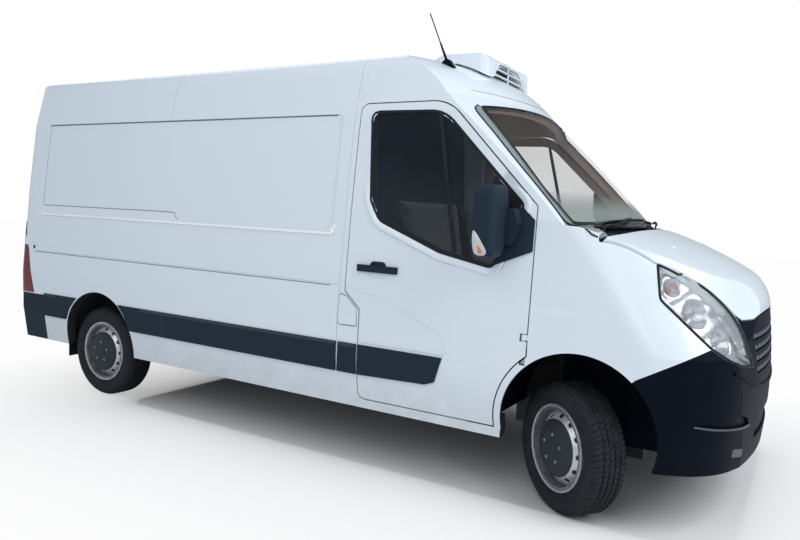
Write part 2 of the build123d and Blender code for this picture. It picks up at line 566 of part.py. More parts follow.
# Rear doors hinge on pins just behind the corner posts
GATE_PIN_X = REAR_FACE_X - 10
GATE_PIN_Y = REAR_DOOR_Y + 4
GATE_PIN_R = 5.0
GATE_EYE_R = 9.0
GATE_HINGES = (760.0, 1420.0, 2080.0)
for side, tag in ((RIGHT, "right"), (LEFT, "left")):
    leaf = block(REAR_X, REAR_WALL_X + 1, side * 4, side * REAR_DOOR_Y, REAR_DOOR_Z, REAR_DOOR_TOP)
    leaf &= LOAD_SHELL
    for z0, z1 in ((REAR_DOOR_Z + 110, 1180), (1310, REAR_DOOR_TOP - 120)):
        press = rounded([(side * a, z, 40) for a, z in ((110, z0), (680, z0), (680, z1), (110, z1))])
        leaf -= PRESSED & ahead_prism(press, REAR_X - 50, REAR_WALL_X)
    posts = nodes["side_panel_" + tag]
    for z in GATE_HINGES:
        leaf += bar_z(GATE_PIN_X, side * GATE_PIN_Y, GATE_PIN_R, z - 40, z + 20)
        leaf += bar_z(GATE_PIN_X, side * GATE_PIN_Y, GATE_EYE_R, z - 40, z - 21)
        strap = (GATE_PIN_X + 2, REAR_FACE_X + 2, side * GATE_PIN_Y)
        leaf += block(*strap, side * (REAR_DOOR_Y - 70), z - 40, z - 21)
        posts += bar_z(GATE_PIN_X, side * GATE_PIN_Y, GATE_EYE_R, z - 20, z + 20)
        posts += block(*strap, side * (GATE_PIN_Y + 70), z - 20, z + 20)
        posts -= bar_z(GATE_PIN_X, side * GATE_PIN_Y, GATE_PIN_R + FIT, z - 21, z + 21)
    nodes["rear_door_" + tag] = leaf
    nodes["side_panel_" + tag] = posts

# Bonnet hinge: necked arms under the bonnet swing on eyes behind the cowl, above the bonnet's rear edge.
# They rise through slots in the cowl, and a tray with upright webs holds its parts together.
BONNET_PIN_X = FRONT_AXLE_X - 32
BONNET_PIN_Z = 1500.0
BONNET_EYE_Y = HALF - 435
NECK = 24.0


def neck_face(drop, reach):
    """Side view of a bracket that drops from the bonnet pin and then runs forward."""
    k = NECK / 2
    rows = [(-k, k), (-k, -drop), (reach, -drop), (reach, NECK - drop), (k, NECK - drop), (k, k)]
    return rounded([(BONNET_PIN_X + x, BONNET_PIN_Z + z, 0) for x, z in rows])


TRAY_Z = BONNET_PIN_Z - 128
TRAY_X = FRONT_AXLE_X + 70
tray = block(TRAY_X, TRAY_X + 60, -720, 720, TRAY_Z, TRAY_Z + 12)
for y in (-714, -520, 520, 714):
    web = block(TRAY_X, TRAY_X + 20, y - 6, y + 6, TRAY_Z, BONNET_PIN_Z + 50)
    tray += web & COWL_TOP
nodes["cowl"] += tray
for side in (RIGHT, LEFT):
    y0 = side * BONNET_EYE_Y
    bonnet_arm = bar_y(BONNET_PIN_X, BONNET_PIN_Z, PIN_R, y0 - side * 10, y0 + side * 58)
    bonnet_arm += side_prism(neck_face(100, 310), y0 + side * 30, y0 + side * 58)
    nodes["bonnet"] += bonnet_arm & OUTER
    eye = bar_y(BONNET_PIN_X, BONNET_PIN_Z, EYE_R, y0 - side * 12, y0 + side * 12)
    eye += side_prism(neck_face(60, 115), y0 - side * 12, y0 + side * 12)
    nodes["cowl"] += eye & COWL_TOP
    nodes["cowl"] -= bar_y(BONNET_PIN_X, BONNET_PIN_Z, PIN_R + FIT, y0 - side * 14, y0 + side * 14)
    slot_y = (y0 + side * 14, y0 + side * 66)
    nodes["cowl"] -= block(BONNET_PIN_X - 60, BONNET_PIN_X + 300, *slot_y, TRAY_Z + 13, 1700)

# Floor, firewall and bulkhead
CAB_FLOOR_TOP = FLOOR_UNDER + 50
ARCH_LINER = ARCH_F[2] + 25
FOOT_X = ARCH_F[0] - ARCH_LINER - 10
FIREWALL_X = FRONT_AXLE_X - 202
BOX_Y = WHEEL_Y - 185
BOX_R = ARCH_R[2] + 45
floor = block(REAR_X, DOOR_REAR_X - DOOR_GAP, -HALF, HALF, FLOOR_UNDER, FLOOR_TOP) & LINING
for side in (RIGHT, LEFT):
    box_half = BOX_R + SEAM
    floor -= block(REAR_AXLE_X - box_half, REAR_AXLE_X + box_half, side * (BOX_Y - SEAM), side * HALF, 0, 900)
floor += block(DOOR_REAR_X - DOOR_GAP, FOOT_X, 100 - HALF, HALF - 100, FLOOR_UNDER, CAB_FLOOR_TOP)
floor += block(FOOT_X, FIREWALL_X + 20, -545, 545, FLOOR_UNDER, CAB_FLOOR_TOP)
floor += block(FIREWALL_X, FIREWALL_X + 20, -545, 545, FLOOR_UNDER, 1400)
BULK_SEAT = FLOOR_TOP - 10
BULK_REAR_X = BULKHEAD_X - BULKHEAD_THICK
nodes["floor"] = floor - block(BULK_REAR_X - FIT, DOOR_REAR_X, -HALF, HALF, BULK_SEAT, FLOOR_TOP + 1)
nodes["bulkhead"] = block(BULK_REAR_X, BULKHEAD_X, -HALF, HALF, BULK_SEAT, ROOF_Z) & LINING
boxes = []
liners = []
for side in (RIGHT, LEFT):
    box = bar_y(REAR_AXLE_X, ARCH_R[1], BOX_R, side * BOX_Y, side * HALF)
    boxes.append(box - bar_y(REAR_AXLE_X, ARCH_R[1], BOX_R - 15, side * (BOX_Y + 15), side * HALF))
    liner = bar_y(ARCH_F[0], ARCH_F[1], ARCH_LINER + 7, side * 550, side * HALF)
    liners.append(liner - bar_y(ARCH_F[0], ARCH_F[1], ARCH_LINER, -HALF, HALF))
box_zone = block(REAR_X, FRONT_X, -HALF, HALF, FLOOR_UNDER, 1000)
nodes["rear_wheel_boxes"] = (boxes[0] + boxes[1]) & LINING & box_zone
liner_zone = block(REAR_X, FRONT_X, -HALF, HALF, DOOR_Z + 40, 1000) - door_opens - bumper_zone - sill_zone
nodes["arch_liners"] = (liners[0] + liners[1]) & SKIN_LINING & liner_zone

# Chassis rails and cross members
RAIL_Y = 430.0
RAIL_WIDE = 70.0
rails = []
RAIL_FRONT_X = FIREWALL_X - 150
for side in (RIGHT, LEFT):
    y0 = side * (RAIL_Y - RAIL_WIDE / 2)
    y1 = side * (RAIL_Y + RAIL_WIDE / 2)
    rails.append(block(REAR_WALL_X + 5, RAIL_FRONT_X, y0, y1, RAIL_UNDER, FLOOR_UNDER))
CROSS_X = (REAR_WALL_X + 60, REAR_AXLE_X + 500, REAR_AXLE_X + 1450, FRONT_AXLE_X - 1432, FIREWALL_X - 250)
for x in CROSS_X:
    rails.append(block(x - 40, x + 40, -RAIL_Y, RAIL_Y, RAIL_UNDER, FLOOR_UNDER))
nodes["chassis_frame"] = rails[0] + rails[1:]

# Rear axle beam on leaf springs
AXLE_R = 40.0
STUB_R = 30.0
STUB_OUT = 58.0
axle = bar_y(REAR_AXLE_X, TYRE_RADIUS, AXLE_R, 130 - WHEEL_Y, WHEEL_Y - 130)
axle += bar_y(REAR_AXLE_X, TYRE_RADIUS, STUB_R, -WHEEL_Y - STUB_OUT, WHEEL_Y + STUB_OUT)
for side in (RIGHT, LEFT):
    y0 = side * (RAIL_Y - 30)
    y1 = side * (RAIL_Y + 30)
    axle += block(REAR_AXLE_X - 600, REAR_AXLE_X + 600, y0, y1, TYRE_RADIUS - 75, TYRE_RADIUS - 45)
    axle += block(REAR_AXLE_X - 50, REAR_AXLE_X + 50, y0, y1, TYRE_RADIUS - 60, TYRE_RADIUS)
    for end in (-575, 575):
        axle += block(REAR_AXLE_X + end - 25, REAR_AXLE_X + end + 25, y0, y1, TYRE_RADIUS - 60, RAIL_UNDER)
nodes["rear_axle"] = axle

# Front subframe with lower arms, and the knuckles steered to rest
KINGPIN_Y = WHEEL_Y - 20
ARM_Z = TYRE_RADIUS - 138
ARM_THICK = 30.0
KINGPIN_R = 14.0
SUBFRAME_TOP = ARM_Z + 125


def steered(side):
    """Turn about one kingpin from straight ahead to the rest angle."""
    there = Pos(FRONT_AXLE_X, side * KINGPIN_Y, 0)
    back = Pos(-FRONT_AXLE_X, -side * KINGPIN_Y, 0)
    return there * Rot(0, 0, -STEER_REST) * back


subframe = block(FRONT_AXLE_X - 230, FRONT_AXLE_X + 270, -420, 420, ARM_Z, SUBFRAME_TOP)
subframe += block(FIREWALL_X - 290, FRONT_AXLE_X - 200, -420, 420, SUBFRAME_TOP - 40, SUBFRAME_TOP)
subframe += block(FIREWALL_X - 290, FIREWALL_X - 210, -420, 420, SUBFRAME_TOP - 40, RAIL_UNDER)
for side, tag in ((RIGHT, "right"), (LEFT, "left")):
    arm = block(FRONT_AXLE_X - 25, FRONT_AXLE_X + 25, side * 400, side * KINGPIN_Y, ARM_Z, ARM_Z + ARM_THICK)
    arm += bar_z(FRONT_AXLE_X, side * KINGPIN_Y, 2 * KINGPIN_R, ARM_Z, ARM_Z + ARM_THICK)
    subframe += arm
    subframe -= bar_z(FRONT_AXLE_X, side * KINGPIN_Y, KINGPIN_R + FIT, ARM_Z - 1, ARM_Z + ARM_THICK + 1)
    knuckle = bar_z(FRONT_AXLE_X, side * KINGPIN_Y, KINGPIN_R, ARM_Z - 5, ARM_Z + 60)
    upright = (FRONT_AXLE_X - 28, FRONT_AXLE_X + 28, side * (KINGPIN_Y - 70), side * (KINGPIN_Y + 14))
    knuckle += block(*upright, ARM_Z + ARM_THICK + 5, TYRE_RADIUS + 75)
    knuckle += bar_y(FRONT_AXLE_X, TYRE_RADIUS, STUB_R, side * (KINGPIN_Y - 10), side * (WHEEL_Y + STUB_OUT))
    nodes["knuckle_" + tag] = steered(side) * knuckle
nodes["front_subframe"] = subframe


def turned(rows):
    """Ring turned about the Y axis from (radius, outboard) rows."""
    return revolve(make_face(Polyline(*rows, close=True)), Axis.Y)


# Wheels: outboard is +Y in the wheel's own frame
W = TYRE_WIDTH / 2
R = TYRE_RADIUS
BEAD = RIM_RADIUS + FIT
shoulder = [(BEAD, W - 27), (RIM_RADIUS + 25, W - 11), (R - 58, W), (R - 18, W - 12), (R, W - 41)]
tyre = turned(shoulder + [(r, -t) for r, t in reversed(shoulder)])
LIP = RIM_RADIUS + 11
WELL = RIM_RADIUS - 15
barrel = [(WELL, 13 - W), (LIP, 13 - W), (LIP, 19 - W), (RIM_RADIUS, 19 - W)]
rim = turned(barrel + [(r, -t) for r, t in reversed(barrel)])
BORE = STUB_R + FIT
HUB = 140
disc = [(BORE, 20), (82, 20), (82, 34), (WELL + 1, 30), (WELL + 1, 44), (HUB + 10, 50)]
cap = [(HUB, 58), (HUB - 30, 66), (60, 72), (0, 72), (0, 60), (BORE, 60)]
rim += turned(disc + cap)
HOLES = 10
HOLE_R = 20
for k in range(HOLES):
    rim -= Rot(0, 360 / HOLES * k, 0) * bar_y(WELL - HOLE_R - 8, 0, HOLE_R, 0, 90)
for side, tag in ((RIGHT, "right"), (LEFT, "left")):
    face_out = Rot(0, 0, 180 if side == RIGHT else 0)
    straight = Pos(FRONT_AXLE_X, side * WHEEL_Y, R) * face_out
    nodes["front_tyre_" + tag] = steered(side) * straight * tyre
    nodes["front_rim_" + tag] = steered(side) * straight * rim
    nodes["rear_tyre_" + tag] = Pos(REAR_AXLE_X, side * WHEEL_Y, R) * face_out * tyre
    nodes["rear_rim_" + tag] = Pos(REAR_AXLE_X, side * WHEEL_Y, R) * face_out * rim

# Engine, tank, exhaust and spare wheel under the body
nodes["engine"] = block(FRONT_AXLE_X - 70, FRONT_AXLE_X + 450, -380, 380, SUBFRAME_TOP, 1080)
TANK_Y = RAIL_Y + RAIL_WIDE / 2
TANK_X = FRONT_AXLE_X - 2182
nodes["fuel_tank"] = block(TANK_X, TANK_X + 680, -TANK_Y, -TANK_Y - 330, RAIL_UNDER - 90, FLOOR_UNDER)
EXHAUST_R = 28.0
EXHAUST_X = FRONT_AXLE_X - 512
PIPE_LONG = 2600.0
along_x = Rot(0, 90, 0)
pipe = Pos(EXHAUST_X - PIPE_LONG / 2, -200, RAIL_UNDER - EXHAUST_R) * along_x * Cylinder(EXHAUST_R, PIPE_LONG)
muffler = Pos(EXHAUST_X - 1870, -200, RAIL_UNDER - 85) * along_x * Cylinder(75, 600)
nodes["exhaust"] = pipe + muffler
SPARE_X = REAR_AXLE_X - 580
spare = bar_z(SPARE_X, 0, 320, RAIL_UNDER - 165, RAIL_UNDER - 10)
spare += bar_z(REAR_WALL_X + 60, 0, 25, RAIL_UNDER - 100, RAIL_UNDER)
nodes["spare_wheel"] = spare + bar_z(SPARE_X, 0, 60, RAIL_UNDER - 20, FLOOR_UNDER)

# Cab fittings
DASH_X = FIREWALL_X - 235
dash_face = rounded([
    (DASH_X, 1010, 40), (FIREWALL_X, 960, 0), (FIREWALL_X, 1395, 0), (DASH_X + 90, 1335, 60),
    (DASH_X, 1230, 40),
])
nodes["dashboard"] = side_prism(dash_face, 165 - HALF, HALF - 165)
SEAT_X = DOOR_REAR_X + 130
SEAT_Z = CAB_FLOOR_TOP + 330
for name, y0, y1 in (("driver_seat", 200, 720), ("passenger_seat", -720, 120)):
    seat_face = rounded([
        (SEAT_X, SEAT_Z, 40), (SEAT_X + 560, SEAT_Z, 50), (SEAT_X + 560, SEAT_Z + 130, 60),
        (SEAT_X + 150, SEAT_Z + 110, 50), (SEAT_X + 40, SEAT_Z + 790, 50), (SEAT_X - 60, SEAT_Z + 780, 45),
    ])
    nodes[name] = side_prism(seat_face, y0, y1)
nodes["seat_bases"] = block(SEAT_X + 40, SEAT_X + 480, 240, 680, CAB_FLOOR_TOP, SEAT_Z) + block(
    SEAT_X + 40, SEAT_X + 480, -680, 80, CAB_FLOOR_TOP, SEAT_Z)
column = Pos(DASH_X - 40, 440, 1190) * Rot(0, -65, 0)
helm = column * Torus(195, 14) + column * Cylinder(45, 40) + column * Pos(0, 0, -90) * Cylinder(25, 180)
for k in range(3):
    helm += column * Rot(0, 0, 120 * k + 90) * Pos(100, 0, 0) * Box(190, 30, 12)
nodes["steering_wheel"] = helm - nodes["dashboard"]

# Cooling unit: condenser housing on the cab roof, evaporator in the load space
UNIT_X = FRONT_X - 2074
UNIT_LONG = 400.0
UNIT_HALF = 385.0
UNIT_PROUD = 52.0
UNIT_FOOT = 12.0
unit_face = rounded([
    (UNIT_X, 2200, 0), (UNIT_X, ROOF_Z + 8, 30), (UNIT_X + 90, ROOF_Z + UNIT_PROUD, 90),
    (UNIT_X + UNIT_LONG - 14, ROOF_Z + UNIT_PROUD - 4, 45), (UNIT_X + UNIT_LONG + 6, 2200, 0),
])
unit_plan = rounded([
    (UNIT_X, -UNIT_HALF, 60), (UNIT_X + UNIT_LONG + 6, 25 - UNIT_HALF, 70),
    (UNIT_X + UNIT_LONG + 6, UNIT_HALF - 25, 70), (UNIT_X, UNIT_HALF, 60),
])
unit = side_prism(unit_face, -UNIT_HALF, UNIT_HALF) & extrude(Pos(0, 0, 2000) * unit_plan, amount=800)

# Arched air opening in the front of the housing, across and up from the roof's crown
UNIT_ARCH = [(-257, -190, 0), (-257, -85, 40), (-165, 20, 90), (165, 20, 90), (257, -85, 40), (257, -190, 0)]
arch_face = rounded([(y, ROOF_Z + z, r) for y, z, r in UNIT_ARCH])
unit -= ahead_prism(arch_face, UNIT_X + UNIT_LONG - 80, UNIT_X + UNIT_LONG + 50)
unit_core = block(UNIT_X, UNIT_X + UNIT_LONG - 90, 60 - UNIT_HALF, UNIT_HALF - 60, 2000, 2800)
foot_gap = envelope(-UNIT_FOOT) - unit_core
foot_gap &= block(UNIT_X + 170, UNIT_X + UNIT_LONG + 50, -HALF, HALF, 2000, 2800)
nodes["unit_housing"] = unit - OUTSET - foot_gap
nodes["evaporator"] = block(BULK_REAR_X - 330, BULK_REAR_X, -560, 560, ROOF_Z - 320, ROOF_Z - 120)

# Radio aerial
AERIAL_X = FRONT_X - 1840
AERIAL_Y = -600.0
AERIAL_Z = ROOF_Z - 87
BASE_ROWS = [(-58, -30, 0), (52, -30, 0), (52, 4, 8), (16, 52, 12), (-6, 52, 12), (-58, 6, 8)]
base_face = rounded([(AERIAL_X + x, AERIAL_Z + z, r) for x, z, r in BASE_ROWS])
whip_line = Pos(AERIAL_X, AERIAL_Y, AERIAL_Z + 36) * Rot(0, -24, 0)
WHIP_LONG = 330.0
whip = whip_line * Pos(0, 0, 65) * Cone(9, 5, 130)
whip += whip_line * Pos(0, 0, WHIP_LONG / 2) * Cylinder(3.5, WHIP_LONG)
nodes["aerial"] = side_prism(base_face, AERIAL_Y - 22, AERIAL_Y + 22) + whip - OUTSET

# Side protection strips: x of each end
STRIP_ENDS = [
    (WRAP_X + 6, ARCH_R[0] - 200), (ARCH_R[0] + 200, DOOR_REAR_X - 43), (DOOR_REAR_X - 28, DOOR_REAR_X + 104),
]
arch_lip = bar_y(ARCH_R[0], ARCH_R[1], ARCH_R[2] + 12, -HALF - 100, HALF + 100)
strips = []
for side in (RIGHT, LEFT):
    for x0, x1 in STRIP_ENDS:
        strips.append(block(x0, x1, side * 900, side * (HALF + STRIP_PROUD), STRIP_Z, STRIP_TOP))
nodes["side_strips"] = strips[0] + strips[1:] - OUTSET - arch_lip

# Only the bulk of each cut panel is kept; chips left by the cuts are dropped
MANY = ("side_strips", "arch_liners", "rear_wheel_boxes", "seat_bases")
for name in nodes:
    solids = sorted(nodes[name].solids(), key=lambda solid: -solid.volume)
    if name.startswith("door_trim"):
        kept = solids[:2]
    elif name in MANY:
        kept = [solid for solid in solids if solid.volume > 20000]
    else:
        kept = solids[:1]
    nodes[name] = Compound(kept)

os.makedirs("parts", exist_ok=True)
for name, shape in nodes.items():
    export_step(shape, "parts/" + name + ".step")
    print(name, len(shape.solids()), round(shape.volume / 1e6, 3))
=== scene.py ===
# %% [markdown]
# A refrigerated panel van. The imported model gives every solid, hinge and wheel at its real place, in
# metres, with +X forward, +Y to the van's left and +Z up. This lesson dresses it: finishes first, then
# the thin pieces that a solid model leaves out, each one a surface worked out with numpy.

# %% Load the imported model
import json
import math

import bmesh
import bpy
import numpy as np
from mathutils import Matrix, Vector


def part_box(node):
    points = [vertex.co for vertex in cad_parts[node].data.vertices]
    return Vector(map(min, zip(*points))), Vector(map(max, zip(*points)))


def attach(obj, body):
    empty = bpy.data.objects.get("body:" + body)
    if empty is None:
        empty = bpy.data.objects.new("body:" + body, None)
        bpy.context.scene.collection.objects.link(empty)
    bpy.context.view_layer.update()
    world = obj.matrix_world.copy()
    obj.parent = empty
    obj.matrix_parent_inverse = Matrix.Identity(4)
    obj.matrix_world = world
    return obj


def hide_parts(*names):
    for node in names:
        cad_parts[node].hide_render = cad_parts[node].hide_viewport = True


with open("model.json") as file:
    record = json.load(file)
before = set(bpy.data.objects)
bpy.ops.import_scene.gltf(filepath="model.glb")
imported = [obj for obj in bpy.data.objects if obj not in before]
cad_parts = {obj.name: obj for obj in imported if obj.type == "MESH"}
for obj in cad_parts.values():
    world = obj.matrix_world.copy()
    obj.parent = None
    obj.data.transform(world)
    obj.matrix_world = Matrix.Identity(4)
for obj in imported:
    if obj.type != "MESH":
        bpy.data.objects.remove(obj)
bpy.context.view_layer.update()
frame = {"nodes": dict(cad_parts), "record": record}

NODES = frame["nodes"]
SIDES = (("right", [1.0, 1.0, 1.0]), ("left", [1.0, -1.0, 1.0]))

# %% [markdown]
# The camera stands where the photographer stood, low off the right front corner. Its place and turn come
# from lines on the body that are straight and square in reality; a camera matrix built from the viewing
# direction keeps the slight roll that a look-at constraint would lose.

# %% Camera
CAMERA_PLACE = np.array([2.9425, -4.4484, 1.5207])
YAW, PITCH, ROLL = 2.104, -0.0813, 0.0473
FOCAL_PIXELS = 702.27
IMAGE_WIDTH = 800
SENSOR = 36.0

ahead = np.array([math.cos(YAW) * math.cos(PITCH), math.sin(YAW) * math.cos(PITCH), math.sin(PITCH)])
level = np.array([math.sin(YAW), -math.cos(YAW), 0.0])
upward = np.cross(level, ahead)
across = math.cos(ROLL) * level + math.sin(ROLL) * upward
upright = math.cos(ROLL) * upward - math.sin(ROLL) * level
lens = bpy.data.cameras.new("photo_camera")
lens.sensor_width = SENSOR
lens.lens = FOCAL_PIXELS / IMAGE_WIDTH * SENSOR
lens.clip_end = 200.0
camera = bpy.data.objects.new("photo_camera", lens)
turn = np.eye(4)
turn[:3, 0], turn[:3, 1], turn[:3, 2], turn[:3, 3] = across, upright, -ahead, CAMERA_PLACE
camera.matrix_world = Matrix(turn.tolist())
bpy.context.collection.objects.link(camera)
bpy.context.scene.camera = camera
print("lens", round(lens.lens, 2), "mm")

# %% [markdown]
# Shader trees are easier to read as sums. Flow wraps one output of a tree: arithmetic on it adds Math
# nodes, and its node method adds anything else from a type, settings and socket values. The usual way is
# to place each node and link by hand, which hides the formula in twenty lines of wiring.

# %% Shader maths as Python expressions
class Flow:
    """One output in a shader tree; a + b, a * b and so on add Math nodes."""

    def __init__(self, tree, socket=None):
        self.tree = tree
        self.socket = socket

    def node(self, kind, settings=(), sockets=(), out=0):
        """A node of a kind: settings first, then the value or link of each socket."""
        made = self.tree.nodes.new("ShaderNode" + kind)
        for key, value in dict(settings).items():
            setattr(made, key, value)
        for key, value in dict(sockets).items():
            if isinstance(value, Flow):
                self.tree.links.new(value.socket, made.inputs[key])
            else:
                made.inputs[key].default_value = value
        return Flow(self.tree, made.outputs[out])

    def math(self, kind, a, b=0.0):
        """One Math node on two values."""
        return self.node("Math", {"operation": kind}, {0: a, 1: b})

    def __add__(self, other):
        return self.math("ADD", self, other)

    def __sub__(self, other):
        return self.math("SUBTRACT", self, other)

    def __rsub__(self, other):
        return self.math("SUBTRACT", other, self)

    def __mul__(self, other):
        return self.math("MULTIPLY", self, other)

    def __truediv__(self, other):
        return self.math("DIVIDE", self, other)

    def over(self, low, high):
        """0 below low, 1 above high, straight between."""
        return self.node("MapRange", {"clamp": True}, {"Value": self, "From Min": low, "From Max": high})

    def axes(self, names):
        """Components of a vector, by the names of their axes."""
        return [self.node("SeparateXYZ", {}, {"Vector": self}, out=name) for name in names]

    __radd__ = __add__
    __rmul__ = __mul__


print("Flow: + - * / on sockets, over, axes and node")

# %% [markdown]
# Most finishes are put together from the same few patterns, so each pattern is a short function: noise by
# the size of its features in metres, straight waves, blends of colours and bumps. Sockets of the main
# shader are named in plain words, which keeps a recipe close to how a painter would say it.

# %% Patterns and sockets
def place_of(tree, scale=(1.0, 1.0, 1.0)):
    """Object coordinates, stretched along the axes."""
    here = Flow(tree).node("TexCoord", out="Object")
    return here.node("Mapping", {}, {"Vector": here, "Scale": scale})


def normal_of(tree):
    """Direction that each face looks in."""
    return Flow(tree).node("NewGeometry", out="True Normal")


def noise(tree, size, detail=3.0, stretch=(1.0, 1.0, 1.0)):
    """Smooth noise with features about size metres across."""
    sockets = {"Vector": place_of(tree, stretch), "Scale": 1.0 / size, "Detail": detail}
    return Flow(tree).node("TexNoise", {}, sockets)


def waves(tree, axis, scale):
    """Straight waves along one axis."""
    return Flow(tree).node("TexWave", {"bands_direction": axis}, {"Vector": place_of(tree), "Scale": scale})


def blend(a, b, factor):
    """Colour a turning into colour b; a plain colour is three numbers."""
    a, b = (colour if isinstance(colour, Flow) else (*colour, 1.0) for colour in (a, b))
    return factor.node("Mix", {"data_type": "RGBA"}, {0: factor, 6: a, 7: b}, out=2)


def bump(height, distance, strength=1.0):
    """Normal from a height in units of distance."""
    return height.node("Bump", {}, {"Height": height, "Distance": distance, "Strength": strength})


def finish_of(name, **constants):
    """New material: its tree, its shader node, with constant sockets set from plain words."""
    material = bpy.data.materials.new(name)
    material.use_nodes = True
    shader = material.node_tree.nodes["Principled BSDF"]
    for word, value in constants.items():
        shader.inputs[word.replace("_", " ").title().replace("Ior", "IOR")].default_value = value
    return material, material.node_tree, shader


def feed(shader, **flows):
    """Links flows to the shader's sockets named in plain words."""
    for word, flow in flows.items():
        flow.tree.links.new(flow.socket, shader.inputs[word.replace("_", " ").title()])


print("patterns: noise, waves, blend, bump")

# %% [markdown]
# White paint on a working van is not one flat white. A clear coat gives the gloss, a faint orange peel
# breaks the reflections, and the paint turns greyer and duller over the lowest hand's breadth of the sills.
# The same panels are lined inside, with brown felt over the cab and pale moulded board in the load space.
# One material can hold both: a face whose normal points back at the middle of the van is an inner face.
# The edges of the wheel arches and of the door windows, which face neither way, are black.

# %% White paint with a lined inner side
MID_Z = 1.35
AXLES = [(1.932, 0.343), (-1.750, 0.343)]
ARCH_RADIUS = 0.56
UNDERSEAL = (0.012, 0.013, 0.015)
LINING_DARK = (0.045, 0.047, 0.052)


def panel_paint(name, inner, inner_roughness, window=0.0):
    """Paint that dulls towards the ground; faces that look back at the van's middle take the lining.

    With window = 1 the edges round a door's window are black, and so is the lining below it.
    """
    material, tree, shader = finish_of(name, coat_roughness=0.04, ior=1.45)
    x, y, z = place_of(tree).axes("XYZ")
    ny, nz = normal_of(tree).axes("YZ")
    inside = (0.0 - ny * y - nz * (z - MID_Z)).over(0.10, 0.16)
    arch = 0.0
    for axle_x, axle_z in AXLES:
        square = (x - axle_x) * (x - axle_x) + (z - axle_z) * (z - axle_z)
        arch = arch + (1.0 - square.over(ARCH_RADIUS**2, ARCH_RADIUS**2 + 0.01))
    edge = 1.0 - (ny * ny).over(0.30, 0.40)
    along = x.over(0.62, 0.63) * (1.0 - x.over(1.63, 1.64))
    up = z.over(1.24, 1.25) * (1.0 - z.over(2.10, 2.105))
    under = (arch * (edge + inside) + window * edge * along * up).over(0.3, 0.9)
    # Greyer and rougher towards the bottom, in noisy patches
    lower_grey = (1.0 - z.over(0.36, 0.75)) * noise(tree, 0.12, 4.0)
    tint = blend((0.735, 0.815, 0.89), (0.76, 0.84, 0.91), noise(tree, 1.4, 2.0))
    paint = blend(tint, (0.42, 0.43, 0.43), lower_grey * 0.55)
    felt = noise(tree, 0.004, 2.0)
    cloth = blend(tuple(0.8 * c for c in inner), inner, felt)
    cloth = blend(cloth, LINING_DARK, window * (1.0 - z.over(1.42, 1.46)))
    rough = (0.26 + lower_grey * 0.3) * (1.0 - inside) + inside * inner_roughness
    peel = noise(tree, 0.006, 1.0) * (1.0 - inside) + felt * inside * 4.0
    colour = blend(blend(paint, cloth, inside), UNDERSEAL, under)
    feed(shader, base_color=colour, roughness=rough + under * 0.4,
         coat_weight=(0.6 - inside * 0.6) * (1.0 - under), normal=bump(peel, 0.00012, 0.25))
    return material


WHITE_PAINT = panel_paint("white_paint", (0.62, 0.64, 0.65), 0.45)
CAB_PAINT = panel_paint("cab_paint", (0.80, 0.56, 0.46), 0.9)
WING_PAINT = panel_paint("wing_paint", UNDERSEAL, 0.8)
DOOR_PAINT = panel_paint("door_paint", (0.62, 0.44, 0.36), 0.8, window=1.0)
print(WHITE_PAINT.name, CAB_PAINT.name, DOOR_PAINT.name)

# %% [markdown]
# Bumpers, mirrors and side strips are moulded in black plastic with a fine leather grain. The grain is a
# cell pattern under a millimetre across: bump carries it, because geometry that fine would be wasted.

# %% Grained black plastic
def grained_plastic(name, dark, pale, roughness, gloss=0.16):
    """Moulded plastic: cell grain as bump, and a slow cloudiness in colour and roughness."""
    material, tree, shader = finish_of(name, specular_ior_level=gloss)
    cells = Flow(tree).node("TexVoronoi", {"feature": "F1"}, {"Vector": place_of(tree), "Scale": 700.0})
    cloud = noise(tree, 0.25, 4.0)
    colour = blend(dark, pale, cloud)
    feed(shader, base_color=colour, roughness=roughness + cloud * 0.14, normal=bump(cells, 0.0004, 0.5))
    return material


BLACK_PLASTIC = grained_plastic("black_plastic", (0.001, 0.003, 0.008), (0.003, 0.006, 0.013), 0.42, 0.06)
STRIP_PLASTIC = grained_plastic("strip_plastic", (0.010, 0.022, 0.036), (0.014, 0.028, 0.044), 0.45)
CAB_TRIM = grained_plastic("cab_trim", (0.03, 0.03, 0.034), (0.055, 0.055, 0.06), 0.55)
print(BLACK_PLASTIC.name, CAB_TRIM.name)

# %% [markdown]
# Side windows are tinted dark, the windscreen is nearly clear, and lamp lenses are clear plastic. Thin
# panes are shown best by a shader that is partly see-through: real refraction would need glass with two
# walls everywhere and makes the export heavier.

# %% Glass and lamp lenses
def pane(name, colour, alpha, roughness=0.02, painted_dash_light=0.0):
    """Thin tinted pane: gloss all over, alpha for what shows through, dust, and low on a screen a pale band
    of painted light for the lit dashboard top behind it.
    """
    material, tree, shader = finish_of(name, coat_weight=0.5, coat_roughness=0.01, ior=1.5)
    dust = noise(tree, 0.35, 5.0).over(0.45, 0.8)
    shade = blend(colour, tuple(0.85 * c + 0.05 for c in colour), dust * 0.5)
    z = place_of(tree).axes("Z")[0]
    # Pale greenish band just above the screen's foot, more opaque: painted light standing for the lit
    # dashboard top
    foot = z.over(1.48, 1.54) * (1.0 - z.over(1.58, 1.68)) * painted_dash_light
    feed(shader, base_color=blend(shade, (0.36, 0.45, 0.40), foot), roughness=roughness + dust * 0.03,
         alpha=alpha + dust * 0.04 + foot)
    return material


SIDE_GLASS = pane("side_glass", (0.003, 0.022, 0.042), 0.16)
SCREEN_GLASS = pane("screen_glass", (0.10, 0.13, 0.12), 0.08, painted_dash_light=0.55)
CLEAR_LENS = pane("clear_lens", (0.75, 0.78, 0.80), 0.10)
RED_LENS = pane("red_lens", (0.36, 0.012, 0.014), 0.92, 0.08)
AMBER_LENS = pane("amber_lens", (0.75, 0.22, 0.03), 0.85, 0.08)
print("panes", SIDE_GLASS.name, SCREEN_GLASS.name, CLEAR_LENS.name)

# %% [markdown]
# Tyres are rubber, and wheels, frame and fittings are painted or bare metal. One small function per family
# keeps the recipes short: a base colour, a second colour laid over it by noise, and a bump.

